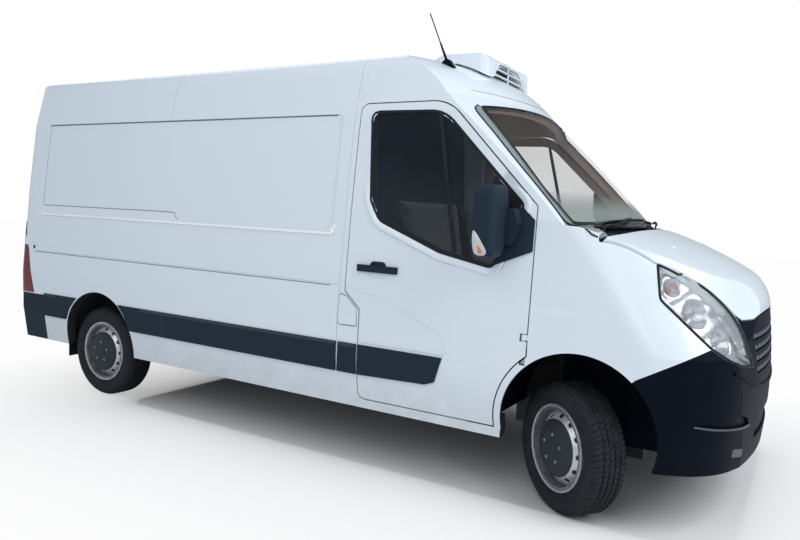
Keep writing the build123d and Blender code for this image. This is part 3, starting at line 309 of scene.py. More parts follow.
# %% Rubber and metals
def rubber():
    """Tyre rubber: dull black, greyed by dust in patches."""
    material, tree, shader = finish_of("tyre_rubber", specular_ior_level=0.3)
    dust = noise(tree, 0.05, 6.0).over(0.45, 0.75)
    colour = blend((0.006, 0.009, 0.013), (0.022, 0.025, 0.030), dust)
    grain = bump(noise(tree, 0.003), 0.0005, 0.4)
    feed(shader, base_color=colour, roughness=0.62 + dust * 0.25, normal=grain)
    return material


def metal(name, colour, worn, metallic, roughness, size):
    """Painted or bare metal: two colours by noise, with a cast or brushed bump."""
    material, tree, shader = finish_of(name, metallic=metallic)
    wear = noise(tree, size, 6.0).over(0.5, 0.72)
    grain = noise(tree, size / 12.0, 3.0)
    feed(shader, base_color=blend(colour, worn, wear), roughness=roughness + wear * 0.2,
         normal=bump(grain, size / 60.0, 0.25))
    return material


TYRE_RUBBER = rubber()
# Darkened wheel steel: painted shade for the rim inside the tyre and for the bolts; it also serves two
# headlamp bulbs. Web and lip keep paler steel
SHADED_WHEEL_STEEL = metal("wheel_steel", (0.20, 0.21, 0.235), (0.11, 0.115, 0.13), 0.55, 0.30, 0.05)
CHASSIS_BLACK = metal("chassis_black", (0.012, 0.012, 0.013), (0.05, 0.045, 0.04), 0.0, 0.55, 0.08)
CAST_IRON = metal("cast_iron", (0.06, 0.06, 0.062), (0.12, 0.085, 0.06), 0.6, 0.6, 0.04)
BRIGHT_METAL = metal("bright_metal", (0.56, 0.59, 0.63), (0.42, 0.45, 0.49), 1.0, 0.17, 0.2)
COOLER_METAL = metal("cooler_metal", (0.62, 0.63, 0.64), (0.5, 0.51, 0.52), 0.8, 0.32, 0.15)
print("metals", SHADED_WHEEL_STEEL.name, CAST_IRON.name, BRIGHT_METAL.name)

# %% [markdown]
# The load space is lined with pale washable board. Bulkhead, floor and wheel boxes are lined on one side
# only, so their finish asks where a point lies or which way its face looks, as the paint does.

# %% Linings
LINING_PALE = (0.66, 0.68, 0.68)
BULKHEAD_X = (0.350, 0.352)


def lining():
    """Washable moulded wall lining, faintly mottled, with long scuffs."""
    material, tree, shader = finish_of("load_lining", coat_weight=0.2)
    scuff = noise(tree, 0.08, 6.0, (0.25, 1.0, 1.0)).over(0.55, 0.8)
    colour = blend(LINING_PALE, (0.48, 0.49, 0.48), scuff * 0.7)
    mottle = bump(noise(tree, 0.02), 0.001, 0.2)
    feed(shader, base_color=colour, roughness=0.42 + scuff * 0.25, normal=mottle)
    return material


def bulkhead_board():
    """Insulated wall: dark felt towards the cab, pale washable lining towards the load."""
    material, tree, shader = finish_of("bulkhead_board")
    cab = place_of(tree).axes("X")[0].over(*BULKHEAD_X)
    felt = noise(tree, 0.005, 3.0)
    dark = blend((0.020, 0.022, 0.026), (0.042, 0.044, 0.050), felt)
    colour = blend(LINING_PALE, dark, cab)
    feed(shader, base_color=colour, roughness=0.45 + cab * 0.45, normal=bump(felt, 0.0006, 0.4))
    return material


def wheel_box():
    """Wheel box: washable lining above, black underseal below and towards the wheel."""
    material, tree, shader = finish_of("wheel_box")
    x, y, z = place_of(tree).axes("XYZ")
    nx, ny, nz = normal_of(tree).axes("XYZ")
    under = (nx * (AXLES[1][0] - x) + nz * (AXLES[1][1] - z) + ny * y).over(-0.05, 0.05)
    colour = blend((0.62, 0.64, 0.64), UNDERSEAL, under)
    pebble = bump(noise(tree, 0.006, 3.0), 0.002, 0.5)
    feed(shader, base_color=colour, roughness=0.45 + under * 0.4, normal=pebble)
    return material


def floor_board():
    """Floor: pale lining on top in the load space; cab mat, bulkhead foot and underside are black."""
    material, tree, shader = finish_of("floor_board")
    x = place_of(tree).axes("X")[0]
    nz = normal_of(tree).axes("Z")[0]
    load = (1.0 - x.over(*BULKHEAD_X)) * nz.over(0.45, 0.55)
    colour = blend(UNDERSEAL, (0.60, 0.62, 0.62), load)
    pebble = bump(noise(tree, 0.004, 3.0), 0.002, 0.5)
    feed(shader, base_color=colour, roughness=0.8 - load * 0.3, normal=pebble)
    return material


LOAD_LINING = lining()
BULKHEAD_BOARD = bulkhead_board()
BOX_LINING = wheel_box()
FLOOR_BOARD = floor_board()
print("linings", LOAD_LINING.name, BULKHEAD_BOARD.name, BOX_LINING.name, FLOOR_BOARD.name)

# %% [markdown]
# Seat cloth is a plain weave, and a tail lamp's cover is fluted plastic in three colours. Both come from
# waves: crossed ones for the threads, upright ones for the flutes.

# %% Cloth and tail lamps
def woven_cloth():
    """Plain weave: two sets of fine waves crossed, with slow wear in colour."""
    material, tree, shader = finish_of("seat_cloth", sheen_weight=0.25, specular_ior_level=0.2)
    weave = waves(tree, "Y", 160.0) * waves(tree, "Z", 160.0)
    wear = noise(tree, 0.15, 5.0)
    colour = blend((0.035, 0.037, 0.043), (0.095, 0.097, 0.105), weave * 0.6 + wear * 0.4)
    feed(shader, base_color=colour, roughness=0.85 + wear * 0.1, normal=bump(weave, 0.0012, 0.6))
    return material


def tail_lens():
    """Rear lamp cover: red, with an amber and a clear chamber at their heights, and fine flutes."""
    material, tree, shader = finish_of("tail_lens", coat_weight=0.5)
    z = place_of(tree).axes("Z")[0]
    flutes = waves(tree, "Y", 60.0)
    clear = z.over(1.114, 1.118) * (1.0 - z.over(1.182, 1.186))
    red = blend((0.10, 0.004, 0.010), (0.19, 0.012, 0.020), flutes)
    colour = blend(blend(red, (0.80, 0.30, 0.05), z.over(1.190, 1.194)), (0.78, 0.80, 0.82), clear)
    feed(shader, base_color=colour, roughness=0.10 + flutes * 0.08, normal=bump(flutes, 0.001, 0.4))
    return material


SEAT_CLOTH = woven_cloth()
TAIL_LENS = tail_lens()
print("finishes", len(bpy.data.materials))

# %% [markdown]
# The solids that already have the right shape keep it and only take a finish. A table from the record's
# slots to the finishes above does this in one pass.

# %% Finishes of the solids
SLOT_FINISH = {
    "body_paint": WHITE_PAINT, "black_plastic": BLACK_PLASTIC, "window_glass": SIDE_GLASS,
    "clear_lamp": CLEAR_LENS, "red_lamp": RED_LENS, "tyre_rubber": TYRE_RUBBER,
    "wheel_silver": SHADED_WHEEL_STEEL, "chassis_black": CHASSIS_BLACK, "iron": CAST_IRON,
    "lining": LOAD_LINING, "cab_trim": CAB_TRIM, "seat_cloth": SEAT_CLOTH, "cooler_metal": COOLER_METAL,
}
NODE_FINISH = {
    "windscreen": SCREEN_GLASS, "cab_roof": CAB_PAINT, "bonnet": WING_PAINT, "bulkhead": BULKHEAD_BOARD,
    "floor": FLOOR_BOARD, "rear_wheel_boxes": BOX_LINING, "side_strips": STRIP_PLASTIC,
    "rear_bumper": STRIP_PLASTIC,
}
PAIR_FINISH = {
    "cab_door": DOOR_PAINT, "wing": WING_PAINT, "tail_lamp": TAIL_LENS, "mirror": STRIP_PLASTIC,
    "door_trim": STRIP_PLASTIC,
}
for tag, _ in SIDES:
    NODE_FINISH.update({f"{name}_{tag}": finish for name, finish in PAIR_FINISH.items()})
for part in frame["record"]["subparts"]:
    shown = NODES[part["node"]].data.materials
    shown.clear()
    shown.append(NODE_FINISH.get(part["node"], SLOT_FINISH[part["material_slot"]]))
print("dressed", len(NODES), "nodes")

# %% [markdown]
# Everything added from here on is a surface on a grid of points: an (m, n, 3) array becomes a mesh with a
# quad between every four neighbours. Modelling by hand would give the same shapes, but a formula states
# them, and a change of one number moves every point that depends on it.

# %% From grids of points to pieces
CREASE = math.radians(40.0)


def piece(name, points, finish, form="sheet", body="body", thick=0.0):
    """Mesh over one or more (m, n) grids of points.

    A sheet is open, a fan closes its columns, a tube has end caps too, a ring closes rows and columns.
    """
    m, n = points.shape[-3:-1]
    copies = points.reshape(-1, m * n, 3)
    rows = np.arange(m if form == "ring" else m - 1)
    cols = np.arange(n - 1 if form == "sheet" else n)
    row, col = np.meshgrid(rows, cols, indexing="ij")
    below, beside = (row + 1) % m, (col + 1) % n
    corners = [row * n + col, row * n + beside, below * n + beside, below * n + col]
    quads = np.stack(corners, axis=-1).reshape(-1, 4)
    start = (np.arange(len(copies)) * m * n)[:, None, None]
    faces = (quads + start).reshape(-1, 4).tolist()
    if form == "tube":
        ends = np.stack([np.arange(n)[::-1], (m - 1) * n + np.arange(n)])
        faces += (ends + start).reshape(-1, n).tolist()
    mesh = bpy.data.meshes.new(name)
    mesh.from_pydata(copies.reshape(-1, 3).tolist(), [], faces)
    shaped = bmesh.new()
    shaped.from_mesh(mesh)
    bmesh.ops.remove_doubles(shaped, verts=shaped.verts, dist=1e-6)
    bmesh.ops.recalc_face_normals(shaped, faces=shaped.faces)
    shaped.to_mesh(mesh)
    shaped.free()
    mesh.polygons.foreach_set("use_smooth", np.ones(len(mesh.polygons), dtype=bool))
    mesh.set_sharp_from_angle(angle=CREASE)
    mesh.materials.append(finish)
    made = bpy.data.objects.new(name, mesh)
    bpy.context.collection.objects.link(made)
    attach(made, body)
    if thick:
        made.modifiers.new("sheet", "SOLIDIFY").thickness = thick
    return made


def mirrored(points):
    """The same points on the other side of the van, stacked with the first."""
    return np.stack([points, points * [1.0, -1.0, 1.0]])


print("creases over", round(math.degrees(CREASE)), "degrees stay sharp")

# %% [markdown]
# Outlines start as lines of points: straight runs, arcs and smooth curves through a few knots, brought to
# equal steps. A spline object could do the same, but arrays can go straight into the formulas below.

# %% Lines of points
def unit(vectors):
    """Vectors brought to length one."""
    return vectors / np.maximum(np.linalg.norm(vectors, axis=-1, keepdims=True), 1e-9)


def even(line, count, closed=False):
    """Points at equal steps along a run of straight pieces."""
    line = np.asarray(line, dtype=float)
    line = np.vstack([line, line[:1]]) if closed else line
    reach = np.concatenate([[0.0], np.cumsum(np.linalg.norm(np.diff(line, axis=0), axis=1))])
    steps = np.linspace(0.0, reach[-1], count, endpoint=not closed)
    return np.stack([np.interp(steps, reach, line[:, k]) for k in range(line.shape[1])], axis=1)


def curve_through(knots, count, closed=False):
    """Smooth curve through knots: the Catmull-Rom cubic between each pair."""
    knots = np.asarray(knots, dtype=float)
    ends = (knots[-1:], knots[:2]) if closed else (2 * knots[:1] - knots[1:2], 2 * knots[-1:] - knots[-2:-1])
    pad = np.vstack([ends[0], knots, ends[1]])
    t = np.linspace(0.0, len(pad) - 3, count, endpoint=not closed)
    i = np.minimum(t.astype(int), len(pad) - 4)
    f = (t - i)[:, None]
    a, b, c, d = pad[i], pad[i + 1], pad[i + 2], pad[i + 3]
    return 0.5 * (2 * b + (c - a) * f + (2 * a - 5 * b + 4 * c - d) * f**2 + (3 * b - a - 3 * c + d) * f**3)


def arc_through(a, b, c, count):
    """Circle's arc from a by b to c in a plane: the centre is equally far from all three."""
    a, b, c = (np.asarray(p, dtype=float) for p in (a, b, c))
    centre = np.linalg.solve(2 * np.stack([b - a, c - a]), [b @ b - a @ a, c @ c - a @ a])
    angle = np.unwrap([math.atan2(*(p - centre)[::-1]) for p in (a, b, c)])
    turn = np.linspace(angle[0], angle[2], count)
    return centre + np.linalg.norm(a - centre) * np.stack([np.cos(turn), np.sin(turn)], axis=1)


def smoothed(loop, passes):
    """Closed outline whose points are averaged with their neighbours, which rounds the corners."""
    for _ in range(passes):
        loop = (np.roll(loop, 1, 0) + 2 * loop + np.roll(loop, -1, 0)) / 4
    return loop


def pulled_in(loop, distance):
    """Closed flat outline moved in by a distance, square to its direction of travel."""
    ahead = unit(np.roll(loop, -1, 0) - np.roll(loop, 1, 0))
    inward = np.stack([-ahead[:, 1], ahead[:, 0]], axis=1)
    return loop + np.sign(np.sum(inward * (loop.mean(0) - loop))) * distance * inward


print("arc of", len(arc_through((0, 0), (1, 1), (2, 0), 9)), "points")

# %% [markdown]
# Rubbers, bars and beads are all one rounded profile carried along a path. The path's direction and the
# surface's normal give the profile its two axes at every step, so it never twists.

# %% Profiles along paths
def full_turn(count):
    """Angles in equal steps round a circle."""
    return np.linspace(0.0, 2 * np.pi, count, endpoint=False)


def bar_profile(width, low, high, count=12):
    """Rounded box (across, up) between two heights: a superellipse of power four."""
    t = full_turn(count) + np.pi / count
    across, up = np.cos(t), np.sin(t)
    square = np.stack([np.sign(across) * np.abs(across) ** 0.5, np.sign(up) * np.abs(up) ** 0.5], axis=1)
    return square * [width / 2, (high - low) / 2] + [0.0, (high + low) / 2]


def strip(path, normal, profile, closed=False):
    """Grid of points of a profile carried along a path: across is normal x direction of travel."""
    ahead = np.roll(path, -1, -2) - np.roll(path, 1, -2) if closed else np.gradient(path, axis=-2)
    across = unit(np.cross(normal, ahead))[..., None, :]
    return path[..., None, :] + across * profile[:, :1] + normal[..., None, :] * profile[:, 1:]


print("profile", bar_profile(0.02, 0.0, 0.01).shape)

# %% [markdown]
# Trim has to lie on the body's curves. Its outline is drawn flat, as seen from the side, the front or
# square to the glass, and then thrown onto the solids with a Shrinkwrap modifier on a bare cloud of
# points. Doing it twice, once with a lift, also gives the surface's normals.

# %% Throwing flat outlines onto the body
VIEWS = {
    "right": ((1, 0, 0), (0, 0, 1), (0, 0, 0)),
    "front": ((0, 1, 0), (0, 0, 1), (0, 0, 0)),
    "rear": ((0, -1, 0), (0, 0, 1), (0, 0, 0)),
    "left": ((-1, 0, 0), (0, 0, 1), (0, 0, 0)),
    "top": ((1, 0, 0), (0, 1, 0), (0, 0, 0)),
    "glass": ((0, 1, 0), (-math.sqrt(0.5), 0, math.sqrt(0.5)), (1.687, 0, 1.851)),
}
THROW = 4.0


def thrown(points, view, nodes, lift):
    """World points where flat points meet the solids, stood off along the normal by lift.

    A point that passes the solids by takes the depth of the nearest one that met them.
    """
    joined = bmesh.new()
    for node in nodes:
        joined.from_mesh(NODES[node].data)
    bmesh.ops.remove_doubles(joined, verts=joined.verts, dist=1e-6)
    skin = bpy.data.objects.new("skin", bpy.data.meshes.new("skin"))
    joined.to_mesh(skin.data)
    joined.free()
    flat = points.reshape(-1, 2)
    cloud = bpy.data.objects.new("cloud", bpy.data.meshes.new("cloud"))
    cloud.data.from_pydata(np.column_stack([flat, np.full(len(flat), THROW)]).tolist(), [], [])
    x_axis, y_axis, origin = (np.array(v, dtype=float) for v in VIEWS[view])
    turn = np.stack([x_axis, y_axis, np.cross(x_axis, y_axis)], axis=1)
    cloud.matrix_world = Matrix.Translation(origin) @ Matrix(turn.tolist()).to_4x4()
    for temporary in (skin, cloud):
        bpy.context.collection.objects.link(temporary)
    wrap = cloud.modifiers.new("wrap", "SHRINKWRAP")
    wrap.target, wrap.wrap_method, wrap.wrap_mode = skin, "PROJECT", "ABOVE_SURFACE"
    wrap.use_project_z, wrap.use_positive_direction, wrap.use_negative_direction = True, False, True
    wrap.offset = lift
    found = cloud.evaluated_get(bpy.context.evaluated_depsgraph_get()).to_mesh()
    landed = np.empty(len(flat) * 3)
    found.vertices.foreach_get("co", landed)
    for temporary in (skin, cloud):
        bpy.data.meshes.remove(temporary.data)
    landed = landed.reshape(-1, 3)
    missed = landed[:, 2] > THROW - 0.01
    if missed.any():
        away = np.linalg.norm(flat[missed, None] - flat[None, ~missed], axis=-1)
        near = np.flatnonzero(~missed)[np.argmin(away, axis=1)]
        landed[missed] = landed[near] + np.column_stack([flat[missed] - flat[near], np.zeros(len(near))])
    return (landed @ turn.T + origin).reshape(points.shape[:-1] + (3,))


def lay(points, view, *nodes):
    """Flat points on the solids, with the surface's normals from a second throw 10 mm higher."""
    base = thrown(points, view, nodes, 0.0)
    return base, unit(thrown(points, view, nodes, 0.01) - base)


def laid_bar(points, view, nodes, wide, low, high, closed=False):
    """Rounded bar along flat points laid on the solids, between two heights."""
    base, normal = lay(points, view, *nodes.split())
    return strip(base, normal, bar_profile(wide, low, high), closed)


print("views", ", ".join(VIEWS))

# %% [markdown]
# A windscreen is glued in: a black printed band hides the glue, and a rubber lip closes the gap. Both are
# flat strips that follow the edge of the glass, so their path is the outline pulled in by half a width.
# The pane also runs on over the pillars as a band of darker glass: rows of points between an outer and an
# inner line, thrown onto the pillar and smoothed along it, because the panels step there.

# %% Windscreen band, lip and outer edge
SCREEN_TOP = ((-0.775, 0.530), (0.0, 0.482), (0.775, 0.530))
SCREEN_FOOT = ((0.917, -0.390), (0.0, -0.497), (-0.917, -0.390))
SCREEN_WAIST = ((0.913, -0.110), (-0.913, -0.110))
BAND_WIDE = 0.036
LIP_WIDE = 0.011
# Band outside the glass, where its edge is bonded to the pillar: outer line and inner line
EDGE_OUT = [
    (-0.774, 0.528), (-0.822, 0.512), (-0.848, 0.450), (-0.882, 0.256), (-0.909, 0.116), (-0.935, -0.142),
    (-0.946, -0.258), (-0.962, -0.360), (-0.982, -0.450), (-0.983, -0.505), (-0.960, -0.536),
    (-0.880, -0.543), (-0.790, -0.538),
]
EDGE_IN = [
    (-0.758, 0.516), (-0.766, 0.490), (-0.778, 0.450), (-0.820, 0.256), (-0.850, 0.116), (-0.898, -0.142),
    (-0.900, -0.258), (-0.900, -0.337), (-0.893, -0.372), (-0.875, -0.386), (-0.850, -0.393),
    (-0.800, -0.402), (-0.740, -0.412),
]
EDGE_PASSES = 16

GLOSS_BLACK = grained_plastic("gloss_black", (0.006, 0.008, 0.010), (0.012, 0.014, 0.016), 0.10)
SEAL_BLACK = grained_plastic("seal_black", (0.006, 0.009, 0.013), (0.020, 0.024, 0.030), 0.45)
EDGE_GLASS = grained_plastic("edge_glass", (0.20, 0.25, 0.26), (0.25, 0.30, 0.31), 0.08)
top, foot = arc_through(*SCREEN_TOP, 40), arc_through(*SCREEN_FOOT, 48)
screen_loop = np.vstack([top, SCREEN_WAIST[0], foot, SCREEN_WAIST[1]])
screen_loop = smoothed(even(screen_loop, 260, closed=True), 8)
for name, inset, wide, proud, finish in (
    ("screen_band", BAND_WIDE / 2 + 0.004, BAND_WIDE, 0.0008, GLOSS_BLACK),
    ("screen_lip", LIP_WIDE / 2, LIP_WIDE, 0.0035, SEAL_BLACK),
):
    edge = laid_bar(pulled_in(screen_loop, inset), "glass", "windscreen", wide, -0.0006, proud, True)
    piece(name, edge, finish, "ring")
share = np.linspace(0.0, 1.0, 9)[None, :, None]
flat = curve_through(EDGE_OUT, 110)[:, None] * (1 - share) + curve_through(EDGE_IN, 110)[:, None] * share
band, normal = lay(flat, "glass", "wing_right", "windscreen", "cab_roof")
for _ in range(EDGE_PASSES):
    band[1:-1] = (band[:-2] + 2 * band[1:-1] + band[2:]) / 4
    normal[1:-1] = unit(normal[:-2] + 2 * normal[1:-1] + normal[2:])
raised = mirrored(band + normal * 0.0030)
piece("screen_edges", raised, EDGE_GLASS, thick=0.002)
rim = strip(band[:, 0], normal[:, 0], bar_profile(0.009, -0.001, 0.0050))
piece("screen_edge_lips", mirrored(rim), SEAL_BLACK, "tube")
print("screen loop", len(screen_loop), "points, edge band", band.shape[:2])

# %% [markdown]
# Two wipers rest along the foot of the glass. Each arm is a flat bar that rises from its spindle and comes
# down on the blade; the blade is a thin ribbed rubber. Both are profiles carried along curves whose height
# above the glass is the third number of each knot.

# %% Wipers
# Each wiper: arm knots and blade ends as across, up the glass, height above it
WIPERS = [
    ([(-0.76, -0.475, 0.000), (-0.70, -0.470, 0.030), (-0.45, -0.452, 0.042), (-0.24, -0.438, 0.020)],
     [(-0.62, -0.420, 0.009), (-0.25, -0.436, 0.007), (0.10, -0.440, 0.009)]),
    ([(0.04, -0.515, 0.000), (0.10, -0.505, 0.030), (0.30, -0.470, 0.042), (0.47, -0.440, 0.020)],
     [(0.10, -0.452, 0.009), (0.46, -0.436, 0.007), (0.80, -0.385, 0.009)]),
]
ARM_PROFILE = bar_profile(0.015, -0.004, 0.004)
BLADE_PROFILE = bar_profile(0.009, -0.007, 0.008)
for number, (arm, blade) in enumerate(WIPERS):
    for name, knots, profile in (("arm", arm, ARM_PROFILE), ("blade", blade, BLADE_PROFILE)):
        route = curve_through(knots, 40)
        base, normal = lay(route[:, :2], "glass", "windscreen", "cowl")
        points = strip(base + normal * route[:, 2:], normal, profile)
        piece(f"wiper_{name}_{number}", points, SEAL_BLACK, "tube")
print("wipers", len(WIPERS))

# %% [markdown]
# Panes, plates and caps have straight sides and round corners. A corner is given with its radius, and the
# outline can be filled by drawing it in towards its middle, ring by ring.

# %% Outlines with round corners
def rounded_loop(corners, count):
    """Closed outline from (across, up, radius) corners: each is a parabola that touches both sides."""
    corners = np.asarray(corners, dtype=float)
    here, radius = corners[:, :2], corners[:, 2:]
    to_last, to_next = unit(np.roll(here, 1, 0) - here), unit(np.roll(here, -1, 0) - here)
    half_angle = 0.5 * np.arccos(np.clip(np.sum(to_last * to_next, axis=1, keepdims=True), -1, 1))
    cut = radius / np.tan(half_angle)
    t = np.linspace(0.0, 1.0, 9)[None, :, None]
    first, last = (here + to_last * cut)[:, None], (here + to_next * cut)[:, None]
    bends = (1 - t) ** 2 * first + 2 * t * (1 - t) * here[:, None] + t**2 * last
    return even(bends.reshape(-1, 2), count, closed=True)


def filled(loop, rings, middle=None):
    """Grid of flat points from a middle out to a closed outline."""
    middle = loop.mean(0) if middle is None else np.asarray(middle)
    return middle + np.linspace(0.0, 1.0, rings)[:, None, None] * (loop - middle)


print("outline of", len(rounded_loop([(0, 0, 0.1), (1, 0, 0.1), (0, 1, 0.1)], 30)), "points")

# %% [markdown]
# The side windows sit in black rubber, and a slim upright bar parts the fixed quarter light from the pane
# that winds down. A black sail covers the pane's front corner by the mirror, and below the glass the door
# swells to a soft shoulder. Doors swing, so trim rides on its own door; the left is the right mirrored.

# %% Side window rubber, bar, sail and shoulder
WINDOW_CORNERS = [
    (0.636, 2.098, 0.040), (1.102, 2.090, 0.220), (1.614, 1.589, 0.020), (1.472, 1.262, 0.030),
    (1.160, 1.322, 0.150), (0.753, 1.478, 0.090), (0.686, 1.590, 0.060),
]
BAR_ENDS = [(1.078, 2.092), (1.248, 1.318)]
SAIL = [(1.440, 1.752, 0.01), (1.608, 1.596, 0.01), (1.600, 1.545, 0.02), (1.440, 1.545, 0.02)]
# Shoulder below the window: distance out from the edge and height
SHOULDER = [
    (0.012, -0.002), (0.014, 0.001), (0.026, 0.0055), (0.040, 0.0095), (0.050, 0.0095), (0.056, 0.004),
    (0.058, -0.002),
]
SHOULDER_TOP = 1.72
window_loop = rounded_loop(WINDOW_CORNERS, 220)
around = pulled_in(window_loop, -0.008)
rubber_edge = laid_bar(around, "right", "cab_door_right", 0.018, -0.004, 0.0025, True)
low = np.flatnonzero(window_loop[:, 1] < SHOULDER_TOP)
low = np.roll(low, -(int(np.argmax(np.diff(low))) + 1)) if np.diff(low).max() > 1 else low
ease = np.sin(np.pi * np.linspace(0.0, 1.0, len(low)))[:, None] ** 0.4
rows = []
for out, rise in SHOULDER:
    base, normal = lay(pulled_in(window_loop, -out)[low], "right", "cab_door_right")
    rows.append(base + normal * (max(rise, 0.0) * ease + min(rise, 0.0) - 0.001 * (1 - ease)))
shoulder = np.stack(rows, axis=1)
quarter_bar = laid_bar(even(BAR_ENDS, 24), "right", "cab_window_right", 0.024, -0.003, 0.007)
base, normal = lay(filled(rounded_loop(SAIL, 60), 8), "right", "cab_window_right")
sail = base + normal * 0.0015
for tag, flip in SIDES:
    door = "cab_door_" + tag
    piece("window_sail_" + tag, sail * flip, SEAL_BLACK, "fan", door, thick=0.001)
    piece("window_rubber_" + tag, rubber_edge * flip, SEAL_BLACK, "ring", door)
    piece("quarter_bar_" + tag, quarter_bar * flip, SEAL_BLACK, "tube", door)
    piece("window_shoulder_" + tag, shoulder * flip, DOOR_PAINT, "tube", door)
print("window rubber points", rubber_edge.shape[:2])

# %% [markdown]
# A headlamp is a clear cover over a bright tray with three dished reflectors, each with its bulb. The tray
# is one grid inside the lamp's outline, sunk below the cover; a reflector is a paraboloid pressed into it,
# so depth = floor + dish x (1 - (distance / radius)^2) wherever that is positive.

# %% Headlamps
LAMP_TIP, LAMP_MID, LAMP_FOOT = (2.285, 1.339), (2.559, 1.175), (2.722, 0.831)
LAMP_LOWER = [(2.557, 0.948), (2.319, 1.165)]
LENS_THICK = 0.028
RIPPLE_HIGH, RIPPLES = 0.0015, 60.0
BULB_WIDE, BULB_LONG = 0.17, 0.7
# Reflectors: place along the lamp, place across it, radius, depth, bulb finish
REFLECTORS = [
    (0.22, 0.52, 0.050, 0.050, AMBER_LENS), (0.46, 0.48, 0.078, 0.075, SHADED_WHEEL_STEEL),
    (0.72, 0.50, 0.072, 0.070, SHADED_WHEEL_STEEL),
]


def dome(centre, axis, radius, height, rings=8, turns=24):
    """Half an ellipsoid on a disc: out by radius x sin(a), up its axis by height x cos(a)."""
    axis = unit(np.asarray(axis, dtype=float))
    first = unit(np.cross(axis, [0.31, 0.95, 0.10]))
    second = np.cross(axis, first)
    a = np.append(np.linspace(0.0, np.pi / 2, rings), np.pi / 2)[:, None, None]
    t = full_turn(turns)[None, :, None]
    out = radius * np.sin(a) * np.append(np.ones(rings), 0.0)[:, None, None]
    return centre + out * (first * np.cos(t) + second * np.sin(t)) + axis * height * np.cos(a)


lamp_upper = even(arc_through(LAMP_TIP, LAMP_MID, LAMP_FOOT, 60), 120)
lamp_lower = even([LAMP_TIP, *LAMP_LOWER[::-1], LAMP_FOOT], 120)
lamp_loop = smoothed(even(np.vstack([lamp_upper, lamp_lower[::-1]]), 240, closed=True), 6)
seal = laid_bar(pulled_in(lamp_loop, 0.006), "right", "headlamp_right", 0.010, -0.008, 0.004, True)
piece("lamp_seals", mirrored(seal), SEAL_BLACK, "ring")

across = np.linspace(0.03, 0.97, 56)[None, :, None]
flat = lamp_lower[2:-2, None] * (1 - across) + lamp_upper[2:-2, None] * across
base, normal = lay(flat, "right", "headlamp_right")
u = np.linspace(0.0, 1.0, base.shape[0])[:, None]
v = np.linspace(0.0, 1.0, base.shape[1])[None, :]
rim = np.minimum(np.minimum(u, 1 - u) * 9.0, np.minimum(v, 1 - v) * 6.0).clip(0.0, 1.0)
depth = 0.005 + (LENS_THICK + 0.002) * rim**2 * (3 - 2 * rim) + RIPPLE_HIGH * np.sin(RIPPLES * u) * rim
for number, (along, over, radius, dish, glow) in enumerate(REFLECTORS):
    i, j = int(along * base.shape[0]), int(over * base.shape[1])
    away = np.linalg.norm(base - base[i, j], axis=-1)
    depth = np.maximum(depth, LENS_THICK + dish * (1 - (away / radius) ** 2))
    seat = base[i, j] - normal[i, j] * (LENS_THICK + dish)
    bulb = dome(seat, normal[i, j], radius * BULB_WIDE, dish * BULB_LONG)
    piece(f"lamp_bulbs_{number}", mirrored(bulb), glow, "fan", "body")
tray = mirrored(base - normal * depth[..., None])
piece("lamp_trays", tray, BRIGHT_METAL, thick=0.002)
print("reflectors", len(REFLECTORS), "deepest", round(float(depth.max()), 3), "m")

# %% [markdown]
# The grille holds four rows of short grey bars, each in a slot of the black moulding. All bars are one
# array: rows x bars x steps along a bar, thrown onto the floor of the slots in one go.

# %% Grille bars and bumper lips
GRILLE_FOOT = 0.765
SLAT_PITCH, SLAT_RISE = 0.058, 0.043
BARS, BAR_SHARE = 15, 0.72
GRILLE_GREY = grained_plastic("grille_grey", (0.075, 0.085, 0.105), (0.115, 0.128, 0.155), 0.34)
row = np.arange(4)[:, None, None]
half = 0.462 + 0.022 * row
pitch = 2 * half / BARS
begin = -half + pitch * (np.arange(BARS)[None, :, None] + 0.5 - BAR_SHARE / 2)
y = begin + pitch * BAR_SHARE * np.linspace(0.0, 1.0, 5)
z = np.broadcast_to(GRILLE_FOOT + SLAT_RISE + SLAT_PITCH * row, y.shape)
bars = laid_bar(np.stack([y, z], axis=-1), "front", "grille", 0.024, -0.002, 0.011)
piece("grille_bars", bars, GRILLE_GREY, "tube")

CHIN_LIP = [
    (-0.80, 0.832), (-0.62, 0.772), (-0.389, 0.717), (0.0, 0.700), (0.389, 0.717), (0.62, 0.772),
    (0.80, 0.832),
]
FOG_LIP = np.array([(-0.952, 0.582), (-0.868, 0.567), (-0.70, 0.551), (-0.56, 0.543)])
# Lips of the bumper as seen from the front: name, knots, width, height, finish
LIPS = [
    ("chin_lip", CHIN_LIP, 0.018, 0.008, BLACK_PLASTIC),
    ("fog_lip_right", FOG_LIP, 0.010, 0.005, GRILLE_GREY),
    ("fog_lip_left", FOG_LIP * [-1.0, 1.0], 0.010, 0.005, GRILLE_GREY),
]
for name, knots, wide, proud, finish in LIPS:
    lip = laid_bar(curve_through(knots, 60), "front", "front_bumper grille", wide, -0.004, proud)
    piece(name, lip, finish, "tube")
print("grille bars", bars.shape[0] * bars.shape[1])

# %% [markdown]
# A mirror head carries its glass behind and a turn lamp low on its outer side: a clear drop-shaped
# cover over an amber bulb. A filled outline with a bulge of (1 - r^2) gives each its crowned face.

# %% Mirror glass and turn lamps
DROP = [(1.456, 1.446), (1.474, 1.440), (1.505, 1.398), (1.532, 1.352), (1.524, 1.332), (1.495, 1.326),
        (1.468, 1.335), (1.457, 1.385)]
PANE_CORNERS = [(1.045, 1.395, 0.03), (1.205, 1.395, 0.03), (1.205, 1.660, 0.04), (1.066, 1.660, 0.04)]
MIRROR_GLASS = metal("mirror_glass", (0.80, 0.82, 0.84), (0.76, 0.78, 0.80), 1.0, 0.03, 0.3)
PALE_LENS = pane("pale_lens", (0.70, 0.72, 0.74), 0.82, 0.06)


